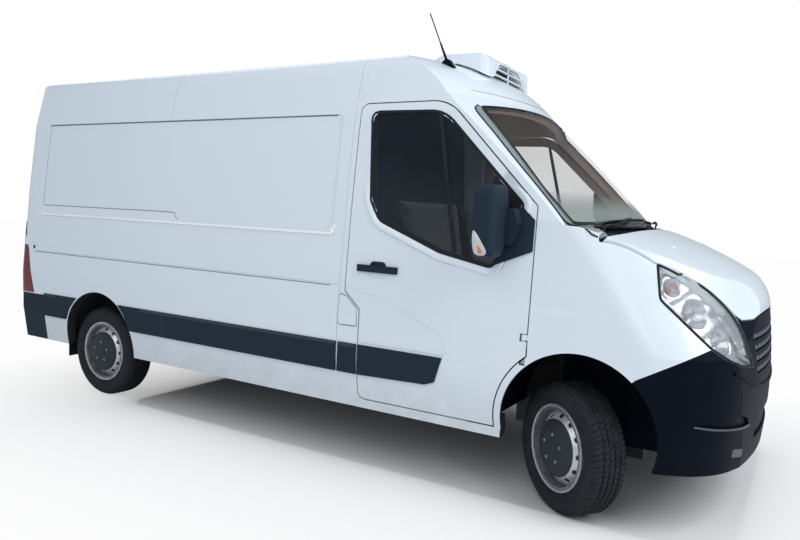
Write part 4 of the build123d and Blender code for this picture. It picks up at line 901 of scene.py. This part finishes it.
def crowned(loop, view, node, rings, low, high, middle=None):
    """Filled outline on a solid, raised from low at its edge to high in its middle."""
    flat = filled(loop, rings, middle)
    base, normal = lay(flat, view, node)
    r = np.linspace(0.0, 1.0, rings)[:, None, None]
    top = base + normal * (low + (high - low) * (1 - r**2))
    foot = base[-1:] - normal[-1:] * 0.002
    return np.concatenate([top, foot, np.broadcast_to(base[:1] - normal[:1] * 0.002, foot.shape)])


drop = curve_through(DROP, 40, closed=True)
bulb = np.array([1.497, 1.356])
lens = crowned(drop, "right", "mirror_right", 8, 0.0015, 0.004)
amber = crowned(bulb + 0.36 * (drop - drop.mean(0)), "right", "mirror_right", 6, 0.003, 0.0062)
glass = crowned(rounded_loop(PANE_CORNERS, 60), "rear", "mirror_right", 5, 0.001, 0.0025)
for tag, flip in SIDES:
    for name, points, finish, slot in (
        ("turn_lamp", lens, PALE_LENS, "clear_lamp"), ("turn_bulb", amber, AMBER_LENS, "clear_lamp"),
        ("mirror_glass", glass, MIRROR_GLASS, "wheel_silver"),
    ):
        piece(f"{name}_{tag}", points * flip, finish, "fan", "cab_door_" + tag)
print("turn lamp", np.ptp(lens.reshape(-1, 3), axis=0).round(3))

# %% [markdown]
# Tyres are surfaces of revolution: a sidewall that bulges, and a tread that is cut by four grooves around
# and by many short ones across. Depth is a sum of smooth steps in two parameters, the angle round the
# wheel and the place across it, so one formula makes every block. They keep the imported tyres' form.

# %% Tyres with tread
TYRE_RADIUS = 0.343
TURNS, BLOCKS = 360, 72
# Half of the section: radius and distance from the middle plane
SECTION = [
    (0.2160, 0.080), (0.2265, 0.089), (0.240, 0.0955), (0.262, 0.1025), (0.285, 0.1070), (0.308, 0.1010),
    (0.325, 0.0935), (0.336, 0.080), (0.3415, 0.066),
]
CROWN_HALF = 0.064
TREAD_FROM, SHOULDER_FROM = 0.33, 0.322
GROOVES, GROOVE_HALF = (-0.047, -0.016, 0.016, 0.047), 0.0045
GROOVE_DEEP, CUT_DEEP, FINE_DEEP = 0.009, 0.007, 0.0075
# Raised rings on the sidewall: radius and height
RINGS = [(0.255, 0.0012), (0.300, 0.0010)]


def notch(distance, half):
    """1 inside half, falling to 0 over a third of it."""
    return np.clip((half * 1.33 - np.abs(distance)) / (half * 0.33), 0.0, 1.0)


side_wall = curve_through(SECTION, 34)
crown = np.linspace(CROWN_HALF, -CROWN_HALF, 74)
tread_radius = TYRE_RADIUS - 0.0015 * (crown / CROWN_HALF) ** 2
section = np.vstack([side_wall, np.stack([tread_radius, crown], axis=1), side_wall[::-1] * [1.0, -1.0]])
angle = full_turn(TURNS)[:, None]
radius, offset = section[None, :, 0], section[None, :, 1]
aside = np.abs(offset)
ringed = sum(notch(offset - place, GROOVE_HALF) for place in GROOVES) * (radius > TREAD_FROM)
slant = angle * BLOCKS / (2 * np.pi) + offset * 9.0
outer_rows = np.clip((aside - 0.050) / 0.004, 0, 1) * (radius > SHOULDER_FROM)
inner_rows = (aside < 0.046) * (radius > TREAD_FROM)
cuts = notch((slant + 0.5) % 1.0 - 0.5, 0.17) * outer_rows
fine = notch((slant + 0.25 + 14.0 * aside) % 1.0 - 0.5, 0.16) * inner_rows
ridges = sum(height * notch(radius - place, 0.002) for place, height in RINGS)
deep = np.minimum(GROOVE_DEEP * ringed + CUT_DEEP * cuts + FINE_DEEP * fine, GROOVE_DEEP)
rolled = radius - deep
out = offset + np.sign(offset) * ridges * (aside < 0.1055)


def wheel_axes(spin):
    """Centre of a wheel, its outboard direction and two directions square to it, from its joint."""
    joint = next(row for row in frame["record"]["behaviour"]["joints"] if row["name"] == spin)
    centre = np.array(joint["pos_m"])
    outboard = unit(np.array(joint["axis"], dtype=float)) * np.sign(centre[1])
    upward = np.array([0.0, 0.0, 1.0])
    return joint["child"], centre, outboard, upward, np.cross(outboard, upward)


def wheeled(axes, angle, radius, out):
    """Points at an angle and radius round a wheel, and a distance outboard of its middle."""
    _, centre, outboard, upward, along = axes
    angle, radius, out = (grid[..., None] for grid in np.broadcast_arrays(angle, radius, out))
    return centre + (np.cos(angle) * upward + np.sin(angle) * along) * radius + outboard * out


WHEELS = [wheel_axes(f"{end}_wheel_{tag}_spin") for end in ("front", "rear") for tag, _ in SIDES]
for axes in WHEELS:
    body = axes[0]
    points = wheeled(axes, angle, rolled, out)
    tyre = piece("ribbed_" + body, points, TYRE_RUBBER, "ring", body)
    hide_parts(body.replace("wheel", "tyre"))
print("tyres", len(WHEELS), "points each", rolled.size)

# %% [markdown]
# The steel wheels wear a dark domed cover over the hub, with five steel bolts in a ring around it. The
# cover is a turned profile; the bolts are small domes placed by the same wheel axes. A pale web, a shallow
# cone pressed with a ring of pits, joins the cover to the rim, and a rolled lip ends the rim at the tyre. A
# black disc in each pit is painted shade that stands for a hole, and rim and bolts take darkened steel.

# %% Hub covers, bolts, webs and rim lips
# Profiles of the cover and of the rim's lip: radius and distance outboard
COVER = [
    (0.000, 0.1235), (0.040, 0.1225), (0.046, 0.1190), (0.085, 0.1175), (0.115, 0.1120), (0.138, 0.1030),
    (0.149, 0.0935), (0.149, 0.0470), (0.000, 0.0470),
]
RIM_LIP = np.array([
    (0.2130, 0.0900), (0.2140, 0.0955), (0.2190, 0.0985), (0.2255, 0.0975), (0.2275, 0.0945),
    (0.2275, 0.0900),
])
BOLTS, BOLT_RING, BOLT_SEAT = 5, 0.072, 0.117
WEB_NEAR, WEB_FAR = (0.149, 0.090), (0.203, 0.036)
WEB_HOLES, WEB_RING, WEB_HOLE = 12, 0.1675, 0.0150
HUB_DARK = grained_plastic("hub_dark", (0.022, 0.028, 0.034), (0.042, 0.050, 0.058), 0.36)
WEB_STEEL = metal("web_steel", (0.64, 0.66, 0.69), (0.44, 0.46, 0.49), 0.45, 0.30, 0.06)
LIP_STEEL = metal("lip_steel", (0.50, 0.52, 0.55), (0.38, 0.40, 0.42), 0.7, 0.26, 0.05)
cover = np.vstack([curve_through(COVER[:7], 40), COVER[7:]])
web_share = np.linspace(0.0, 1.0, 16)[:, None]
web_radius, web_out = (near + (far - near) * web_share for near, far in zip(WEB_NEAR, WEB_FAR))
web_turn = full_turn(240)
part_turn = 2 * np.pi / WEB_HOLES
beside_hole = ((web_turn + part_turn / 2) % part_turn - part_turn / 2) * web_radius
hole_away = np.hypot(beside_hole, (web_radius - WEB_RING) * math.sqrt(2.0))
web_out = web_out - 0.012 * np.clip((WEB_HOLE - hole_away) / 0.003, 0.0, 1.0)
hole_out = np.interp(WEB_RING, (WEB_NEAR[0], WEB_FAR[0]), (WEB_NEAR[1], WEB_FAR[1])) - 0.004
for axes in WHEELS:
    body, centre, outboard = axes[:3]
    turned = wheeled(axes, full_turn(64), cover[:, :1], cover[:, 1:])
    piece("hub_cover_" + body, turned, HUB_DARK, "fan", body)
    seats = wheeled(axes, full_turn(BOLTS), BOLT_RING, BOLT_SEAT)
    heads = np.stack([dome(seat, outboard, 0.011, 0.009, 5, 12) for seat in seats])
    piece("wheel_bolts_" + body, heads, SHADED_WHEEL_STEEL, "fan", body)
    webs = wheeled(axes, web_turn, web_radius, web_out)
    piece("wheel_webs_" + body, webs, WEB_STEEL, "fan", body)
    # Black discs in the web's pits: painted shade standing for holes
    spots = wheeled(axes, full_turn(WEB_HOLES), WEB_RING, hole_out)
    slopes = unit(outboard + unit(spots - centre - outboard * hole_out))
    hole_shades = np.stack([dome(spot, slope, WEB_HOLE, 0.001, 4, 20) for spot, slope in zip(spots, slopes)])
    piece("web_holes_" + body, hole_shades, SEAL_BLACK, "fan", body)
    lip = wheeled(axes, full_turn(96), RIM_LIP[:, :1], RIM_LIP[:, 1:])
    piece("rim_lip_" + body, lip, LIP_STEEL, "ring", body)
print("hub covers", len(WHEELS))

# %% [markdown]
# The cooling unit breathes through an arch in its front. A dark finned core fills the pocket, and pale
# bars guard it. Core and bars follow the arch's outline, drawn from the front.

# %% Cooling unit's core and guard
CORE_CORNERS = [(-0.250, 2.395, 0.01), (0.250, 2.395, 0.01), (0.250, 2.410, 0.03), (0.160, 2.506, 0.085),
                (-0.160, 2.506, 0.085), (-0.250, 2.410, 0.03)]
GUARD_X = 1.082
ARCH_FOOT = 2.398
ARCH_INNER, ARCH_OUTER = (0.238, 0.108), (0.288, 0.138)
# Guard bars as seen from the front: both ends
GUARD = [[(-0.236, 2.432), (0.236, 2.432)], [(-0.205, 2.470), (0.205, 2.470)], [(0.0, 2.396), (0.0, 2.506)]]


def finned_core():
    """Dark core with fine upright fins: a wave across the van drives colour and bump."""
    material, tree, shader = finish_of("finned_core", metallic=0.4)
    fins = waves(tree, "Y", 90.0)
    colour = blend((0.006, 0.007, 0.009), (0.050, 0.054, 0.060), fins)
    feed(shader, base_color=colour, roughness=0.5 + fins * 0.1, normal=bump(fins, 0.003, 0.8))
    return material


core = crowned(rounded_loop(CORE_CORNERS, 80), "front", "unit_housing", 6, 0.001, 0.003, (0.0, 2.44))
piece("unit_core", core, finned_core(), "fan", "body")
for number, ends in enumerate(GUARD):
    run = even(ends, 12)
    path = np.column_stack([np.full(len(run), GUARD_X), run])
    facing = np.broadcast_to([1.0, 0.0, 0.0], path.shape)
    guard = strip(path, facing, bar_profile(0.011, -0.006, 0.006))
    piece(f"unit_guard_{number}", guard, WHITE_PAINT, "tube", "body")
half_turn = np.linspace(0.0, np.pi, 64)
bow = np.stack([np.cos(half_turn), np.sin(half_turn)], axis=1)
inner, outer = (bow * half + [0.0, ARCH_FOOT] for half in (ARCH_INNER, ARCH_OUTER))
face, _ = lay(outer, "front", "unit_housing")
bend = np.column_stack([np.ones(len(face)), face[:, 2], face[:, 1] ** 2])
fit = np.linalg.lstsq(bend, face[:, 0], rcond=None)[0]


def on_face(flat, proud):
    """Points on the unit's front: depth is a fitted plane, bent across the van."""
    y, z = flat[:, 0], flat[:, 1]
    return np.column_stack([fit[0] + fit[1] * z + fit[2] * y**2 + proud, y, z])


rows = [on_face(inner, 0.005), on_face(outer, 0.002), on_face(outer, -0.010), on_face(inner, -0.012)]
piece("unit_arch", np.stack(rows, axis=1), WHITE_PAINT, "tube", "body")
print("guard bars", len(GUARD))

# %% [markdown]
# The seats are soft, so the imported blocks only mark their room. Each is copied, remeshed to small even
# faces and swollen by a short cloth run under slight air pressure. The movement of every point is capped,
# and no point leaves the block's box.

# %% Seats
VOXEL = 0.011
PUFF = 0.024
SWELL = 4.0
RUN_FRAMES = 14
SEAT_INSET = 0.016


def points_of(mesh):
    """The (n, 3) array of a mesh's vertices."""
    flat = np.empty(len(mesh.vertices) * 3)
    mesh.vertices.foreach_get("co", flat)
    return flat.reshape(-1, 3)


def shrunk_copy(node, inset):
    """Mesh of a solid, merged, remeshed evenly and drawn in along its normals."""
    merged = bmesh.new()
    merged.from_mesh(NODES[node].data)
    bmesh.ops.remove_doubles(merged, verts=merged.verts, dist=1e-5)
    rough = bpy.data.objects.new("rough", bpy.data.meshes.new("rough"))
    merged.to_mesh(rough.data)
    merged.free()
    bpy.context.collection.objects.link(rough)
    grid = rough.modifiers.new("grid", "REMESH")
    grid.mode, grid.voxel_size = "VOXEL", VOXEL
    mesh = bpy.data.meshes.new_from_object(rough.evaluated_get(bpy.context.evaluated_depsgraph_get()))
    bpy.data.meshes.remove(rough.data)
    normals = np.array([corner.vector for corner in mesh.vertex_normals])
    mesh.vertices.foreach_set("co", (points_of(mesh) - inset * normals).ravel())
    return mesh


def upholstered(node):
    """Cushion in the room of a seat's solid: cloth under pressure, movement capped, one subdivision."""
    cover = bpy.data.objects.new("soft_" + node, shrunk_copy(node, SEAT_INSET))
    bpy.context.collection.objects.link(cover)
    cover.data.materials.append(SEAT_CLOTH)
    start = points_of(cover.data)
    cloth = cover.modifiers.new("cloth", "CLOTH").settings
    cloth.use_pressure, cloth.uniform_pressure_force = True, SWELL
    cloth.tension_stiffness = cloth.compression_stiffness = 12.0
    cloth.bending_stiffness = 0.8
    cloth.effector_weights.gravity = 0.0
    for step in range(1, RUN_FRAMES + 1):
        bpy.context.scene.frame_set(step)
    swollen = points_of(cover.evaluated_get(bpy.context.evaluated_depsgraph_get()).data)
    cover.modifiers.clear()
    move = swollen - start
    length = np.linalg.norm(move, axis=1, keepdims=True)
    start = start + move * np.minimum(1.0, PUFF / np.maximum(length, 1e-9))
    bpy.context.scene.frame_set(1)
    low, high = (np.array(corner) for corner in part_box(node))
    cover.data.vertices.foreach_set("co", np.clip(start, low, high).ravel())
    cover.data.polygons.foreach_set("use_smooth", np.ones(len(cover.data.polygons), dtype=bool))
    fine = cover.modifiers.new("fine", "SUBSURF")
    fine.levels = fine.render_levels = 1
    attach(cover, "body")
    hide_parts(node)
    return cover


for node in ("driver_seat", "passenger_seat"):
    cover = upholstered(node)
    print(cover.name, len(cover.data.vertices), "points")

# %% [markdown]
# Steel side panels are stiffened by pressed edges, and a joint runs down from the roof. They are so fine
# that soft light loses them on the solids, so each is laid on as a thin bead: pale beads are whiter than the
# paint, a painted highlight on edges that face up, and grey lines are painted shadow under steps that face
# down. The sill strips get a paler upper edge, a painted highlight, and marks of their joints in the same
# paler plastic.

# %% Beads and joints of the side panels
# Painted highlight: the beads' white is brighter than the panel paint. Painted shadow: the grey lines stand
# for shade under the pressed steps
HIGHLIGHT_WHITE = grained_plastic("bead_white", (0.93, 0.95, 0.97), (0.96, 0.97, 0.98), 0.3, 0.5)
CREASE_SHADOW = grained_plastic("panel_sealer", (0.17, 0.20, 0.24), (0.22, 0.25, 0.29), 0.5)
# A paler copy of the strip plastic: painted highlight on the strips' upper edge; the joint mark shares it
STRIP_HIGHLIGHT = grained_plastic("strip_edge", (0.035, 0.048, 0.066), (0.05, 0.064, 0.085), 0.45)
# Kinds of line: width, height, finish
TOP, BEAD = (0.008, 0.002, CREASE_SHADOW), (0.018, 0.009, HIGHLIGHT_WHITE)
FINE, FINEST = (0.006, 0.001, CREASE_SHADOW), (0.005, 0.001, CREASE_SHADOW)
JOINT = (0.004, 0.0008, WHITE_PAINT)
# Lines on a side: name, node, kind, knots across and up
SIDE_LINES = [
    ("top_line", "side_panel_right", TOP, [(-2.505, 2.094), (-1.0, 2.094), (0.200, 2.094), (0.370, 2.094)]),
    ("rear_line", "side_panel_right", FINEST, [(-2.508, 2.088), (-2.508, 1.75), (-2.508, 1.452)]),
    ("ledge_line", "side_panel_right", FINE,
     [(-2.500, 1.449), (-1.80, 1.449), (-1.030, 1.449), (-0.975, 1.430), (-0.940, 1.402)]),
    ("low_bead", "side_panel_right", BEAD,
     [(-2.500, 1.376), (-1.0, 1.376), (0.330, 1.376), (0.402, 1.386), (0.432, 1.425)]),
    ("belt_line", "side_panel_right", FINE, [(-2.560, 1.066), (-1.0, 1.066), (0.440, 1.066)]),
    ("roof_joint", "side_panel_right", JOINT, [(-1.075, 2.098), (-1.068, 1.95), (-1.055, 1.46)]),
    ("left_top_rear", "side_panel_left", TOP, [(0.925, 2.094), (1.7, 2.094), (2.505, 2.094)]),
    ("left_low_rear", "side_panel_left", BEAD, [(0.925, 1.376), (1.7, 1.376), (2.505, 1.376)]),
    ("left_top_door", "sliding_door", TOP, [(-0.34, 2.014), (0.2, 2.014), (0.75, 2.014)]),
    ("left_low_door", "sliding_door", BEAD, [(-0.34, 1.376), (0.2, 1.376), (0.75, 1.376)]),
]
for name, node, (wide, proud, finish), knots in SIDE_LINES:
    view = "right" if node == "side_panel_right" else "left"
    line = laid_bar(even(curve_through(knots, 80), 80), view, node, wide, -0.002, proud)
    piece(name, line, finish, "tube", "body")

# Bars on the sill strips: name, ends across and up, steps, width, height
SILL_BARS = [
    ("strip_edge_0", [(-2.400, 0.724), (-2.250, 0.724)], 40, 0.018, 0.0015),
    ("strip_edge_1", [(-1.250, 0.724), (0.495, 0.724)], 40, 0.018, 0.0015),
    ("strip_edge_2", [(0.530, 0.724), (0.640, 0.724)], 40, 0.018, 0.0015),
    ("strip_joint_0", [(-1.016, 0.575), (-1.016, 0.722)], 12, 0.006, 0.0012),
]
for name, ends, steps, wide, proud in SILL_BARS:
    line = laid_bar(even(ends, steps), "right", "side_strips", wide, -0.002, proud)
    piece(name, mirrored(line), STRIP_HIGHLIGHT, "tube")
print("lines", len(SIDE_LINES) + len(SILL_BARS))

# %% [markdown]
# Small fittings finish the outside. Washer jets and bungs are domes, and the towing eye's cap is a crowned
# outline in grey, paler than the bumper: a real cover with a painted highlight. A black crowned half-disc
# above each door handle is painted shade in the upper part of the handle's recess, and the cup under a
# handle is a thin ring thrown onto the door.

# %% Jets, bungs, caps and cups
JETS = [(2.300, -0.540), (2.300, 0.540)]
BUNG = (-2.578, 1.102)
TOW_COVER = [(-0.720, 0.405, 0.012), (-0.615, 0.388, 0.012), (-0.615, 0.430, 0.012), (-0.720, 0.447, 0.012)]
HANDLE_RECESS_SHADE = [(0.705, 1.196, 0.01), (0.825, 1.196, 0.01), (0.812, 1.232, 0.03), (0.720, 1.232, 0.03)]
HANDLE_CUP = [(0.690, 1.185, 0.02), (0.850, 1.185, 0.02), (0.825, 1.138, 0.04), (0.715, 1.138, 0.04)]


def stud(spot, view, node, radius, height):
    """Small dome on a solid, at a flat spot."""
    base, normal = lay(np.array([spot]), view, node)
    return dome(base[0] - normal[0] * 0.002, normal[0], radius, height)


for number, jet in enumerate(JETS):
    nozzle = stud(jet, "top", "bonnet", 0.011, 0.009)
    piece(f"washer_jet_{number}", nozzle, WHITE_PAINT, "fan", "bonnet")
bung = stud(BUNG, "right", "side_panel_right", 0.016, 0.006)
piece("side_bungs", mirrored(bung), SEAL_BLACK, "fan")
# Towing eye's cover: a real part, its grey paler than the bumper being a painted highlight
cover = crowned(rounded_loop(TOW_COVER, 48), "front", "front_bumper", 5, 0.001, 0.004)
piece("tow_cover", cover, GRILLE_GREY, "fan")
# Black half-disc above the handle: painted shade in the upper part of the handle's recess
recess_shade = crowned(rounded_loop(HANDLE_RECESS_SHADE, 48), "right", "cab_door_right", 6, 0.003, 0.010)
cup = laid_bar(rounded_loop(HANDLE_CUP, 64), "right", "cab_door_right", 0.007, -0.002, 0.0028, True)
for tag, flip in SIDES:
    door = "cab_door_" + tag
    piece("handle_cap_" + tag, recess_shade * flip, SEAL_BLACK, "fan", door)
    piece("handle_cup_" + tag, cup * flip, DOOR_PAINT, "ring", door)
print("jets", len(JETS), "handles", len(SIDES))

# %% [markdown]
# The tail lamps' covers reach round the corner onto the side: a grid from the rear edge to a slanted front
# line, swollen a little in the middle. Shields inside the front arches and flaps behind the rear wheels
# are flat sheets that hang free.

# %% Tail lamp covers, shields and flaps
# Front edge of the tail lamp's cover on the body's side, from its foot up: x, z
WRAP = np.array([(-2.552, 0.728), (-2.607, 0.921), (-2.651, 1.092), (-2.692, 1.189), (-2.722, 1.312)])
WRAP_REAR, WRAP_CAP, WRAP_TIP = -2.747, 1.196, 1.308
# Sheets: name, both ends at half height, facing, height, half the thickness, finish
SHEETS = [
    ("splash_shields", [(1.765, -0.545, 0.55), (2.4, -0.545, 0.55)], (0, -1, 0), 0.50, 0.002, BLACK_PLASTIC),
    ("mud_flaps", [(-2.2, -0.955, 0.3975), (-2.2, -0.760, 0.3975)], (-1, 0, 0), 0.325, 0.003, TYRE_RUBBER),
]
share = np.linspace(0.0, 1.0, 10)[None, :]
swell = 0.004 * np.sin(np.pi * share) ** 0.5 + 0.001
for name, low, high, finish, slot in (
    ("tail_wraps", WRAP[0, 1], WRAP_CAP, TAIL_LENS, "red_lamp"),
    ("tail_tips", WRAP_CAP, WRAP_TIP, SEAL_BLACK, "black_plastic"),
):
    height = np.linspace(low, high, 40)[:, None]
    front = np.interp(height, WRAP[:, 1], WRAP[:, 0])
    flat = np.stack([WRAP_REAR + (front - WRAP_REAR) * share, height + 0.0 * share], axis=-1)
    base, normal = lay(flat, "right", "side_panel_right", "tail_lamp_right")
    piece(name, mirrored(base + normal * swell[..., None]), finish, thick=0.003)
for name, ends, facing, tall, half, finish in SHEETS:
    route = even(ends, 8)
    hung = strip(route, np.broadcast_to(facing, route.shape), bar_profile(tall, -half, half))
    piece(name, mirrored(hung), finish, "tube")
print("sheets", len(SHEETS))

# %% [markdown]
# Last come the rail and handle of the sliding door, ridges between the chambers of the tail lamps, and on
# the rear doors a blank plate, its lamp and the doors' handle.

# %% Rail, ridges and rear doors
RAIL = [(2.300, 1.300), (0.860, 1.300)]
SLIDE_GRIP = [(-0.14, 1.19), (-0.36, 1.19)]
RIDGE_Y, RIDGE_Z = (0.945, 1.012), (0.790, 1.114, 1.188)
PLATE_WHITE = grained_plastic("plate_white", (0.70, 0.71, 0.70), (0.76, 0.77, 0.76), 0.35)
# Rear door fittings: name, left, foot, right, top, radius of corners, door, edge and middle heights, finish
REAR_FITTINGS = [
    ("rear_plate", -0.62, 0.930, -0.10, 1.040, 0.01, "rear_door_left", 0.004, 0.005, PLATE_WHITE),
    ("plate_lamp", -0.46, 1.062, -0.26, 1.084, 0.008, "rear_door_left", 0.006, 0.012, SEAL_BLACK),
    ("rear_grip", 0.070, 1.045, 0.230, 1.095, 0.02, "rear_door_right", 0.006, 0.016, SEAL_BLACK),
]
ridge_run = np.stack([even([(y, z) for y in RIDGE_Y], 10) for z in RIDGE_Z])
rail = laid_bar(even(RAIL, 60), "left", "side_panel_left", 0.030, -0.004, 0.006)
grip = laid_bar(even(SLIDE_GRIP, 16), "left", "sliding_door", 0.034, -0.003, 0.012)
ridges = mirrored(laid_bar(ridge_run, "rear", "tail_lamp_right", 0.010, -0.003, 0.003))
for name, points in (("slide_rail", rail), ("slide_grip", grip), ("tail_ridges", ridges)):
    piece(name, points, SEAL_BLACK, "tube")
for name, left, foot, right, top, bend, door, low, high, finish in REAR_FITTINGS:
    corners = [(left, foot, bend), (right, foot, bend), (right, top, bend), (left, top, bend)]
    points = crowned(rounded_loop(corners, 60), "rear", door, 6, low, high)
    piece(name, points, finish, "fan", door)
print("rear fittings", len(REAR_FITTINGS))

# %% [markdown]
# The stage is a pale floor that keeps the van's soft shadow. Seen directly or through glass, the floor
# turns white within a few steps of the van; the Light Path node tells those rays apart.

# %% Floor
FLOOR_HALF = 40.0
# Painted shadow: over a box round the van, set forward of its middle, the white lift is held back, so the
# floor there stays darker than further out, beyond any lamp's shadow
FOOTPRINT = (1.95, 0.85)
FOOT_MIDDLE = 0.65
FADE_NEAR, FADE_FAR = 0.12, 2.1
FADE_POWER, FADE_FULL = 0.33, 0.97


def seen_directly(tree):
    """1 for rays from the camera and through glass."""
    rays = (Flow(tree).node("LightPath", out=kind) for kind in ("Is Camera Ray", "Is Transmission Ray"))
    return sum(rays, 0.0).over(0.0, 1.0)


def floor_finish():
    """Matt pale floor that turns into plain white away from the van."""
    material, tree, shader = finish_of("pale_floor", base_color=(0.80, 0.80, 0.80, 1), roughness=0.9)
    x, y = Flow(tree).node("TexCoord", out="Object").axes("XY")
    shadow = zip((x - FOOT_MIDDLE, y), FOOTPRINT)
    beyond = [flow.math("MAXIMUM", flow.math("ABSOLUTE", flow) - half, 0.0) for flow, half in shadow]
    away = x.math("SQRT", beyond[0] * beyond[0] + beyond[1] * beyond[1])
    glow = Flow(tree).node("Emission", {}, {"Color": (1, 1, 1, 1), "Strength": 1.0})
    fade = x.math("POWER", away.over(FADE_NEAR, FADE_FAR), FADE_POWER)
    factor = fade * FADE_FULL * seen_directly(tree)
    out = tree.nodes["Material Output"]
    mixed = Flow(tree).node("MixShader", {}, {0: factor, 1: Flow(tree, shader.outputs[0]), 2: glow})
    tree.links.new(mixed.socket, out.inputs["Surface"])
    return material


def flat_square(name, half, z):
    """Square at a height, from four corners."""
    corners = np.array([[-1, -1], [1, -1], [1, 1], [-1, 1]]) * half
    mesh = bpy.data.meshes.new(name)
    mesh.from_pydata(np.column_stack([corners, np.full(4, z)]).tolist(), [], [[0, 1, 2, 3]])
    made = bpy.data.objects.new(name, mesh)
    bpy.context.collection.objects.link(made)
    return made


floor = flat_square("studio_floor", FLOOR_HALF, 0.0)
floor.data.materials.append(floor_finish())
print("floor", FLOOR_HALF * 2, "m wide")

# %% [markdown]
# The light is even, as in a studio: a pale world that looks plain white to the camera, and three large soft
# lamps, one for the side, one for the front and one from behind.

# %% World and lamps
world = bpy.data.worlds.new("studio_world")
bpy.context.scene.world = world
world.use_nodes = True
sky = world.node_tree
direct = seen_directly(sky)
tone = blend((0.80, 0.87, 0.95), (1.0, 1.0, 1.0), direct)
sky.links.new(tone.socket, sky.nodes["Background"].inputs["Color"])
sky.links.new((0.50 + direct * 0.50).socket, sky.nodes["Background"].inputs["Strength"])

# Soft lamps: name, place, target, size, power, colour
LAMPS = [
    ("key", (1.0, -8.0, 6.0), (0.3, 0.0, 1.0), 7.0, 225.0, (1.0, 0.99, 0.97)),
    ("front", (7.2, -1.2, 6.2), (2.2, 0.0, 1.2), 5.0, 410.0, (0.96, 0.98, 1.0)),
    ("back", (-7.0, 5.0, 7.5), (0.0, 0.0, 1.2), 7.0, 100.0, (1.0, 1.0, 1.0)),
]
for name, place, target, size, power, colour in LAMPS:
    light = bpy.data.lights.new("lamp_" + name, "AREA")
    light.size, light.energy, light.color = size, power, colour
    lamp = bpy.data.objects.new("lamp_" + name, light)
    back = np.array(place) - np.array(target)
    turned = Vector(back).to_track_quat("Z", "Y").to_matrix().to_4x4()
    lamp.matrix_world = Matrix.Translation(place) @ turned
    bpy.context.collection.objects.link(lamp)
bpy.context.scene.view_settings.view_transform = "Standard"
print("lamps", len(LAMPS))
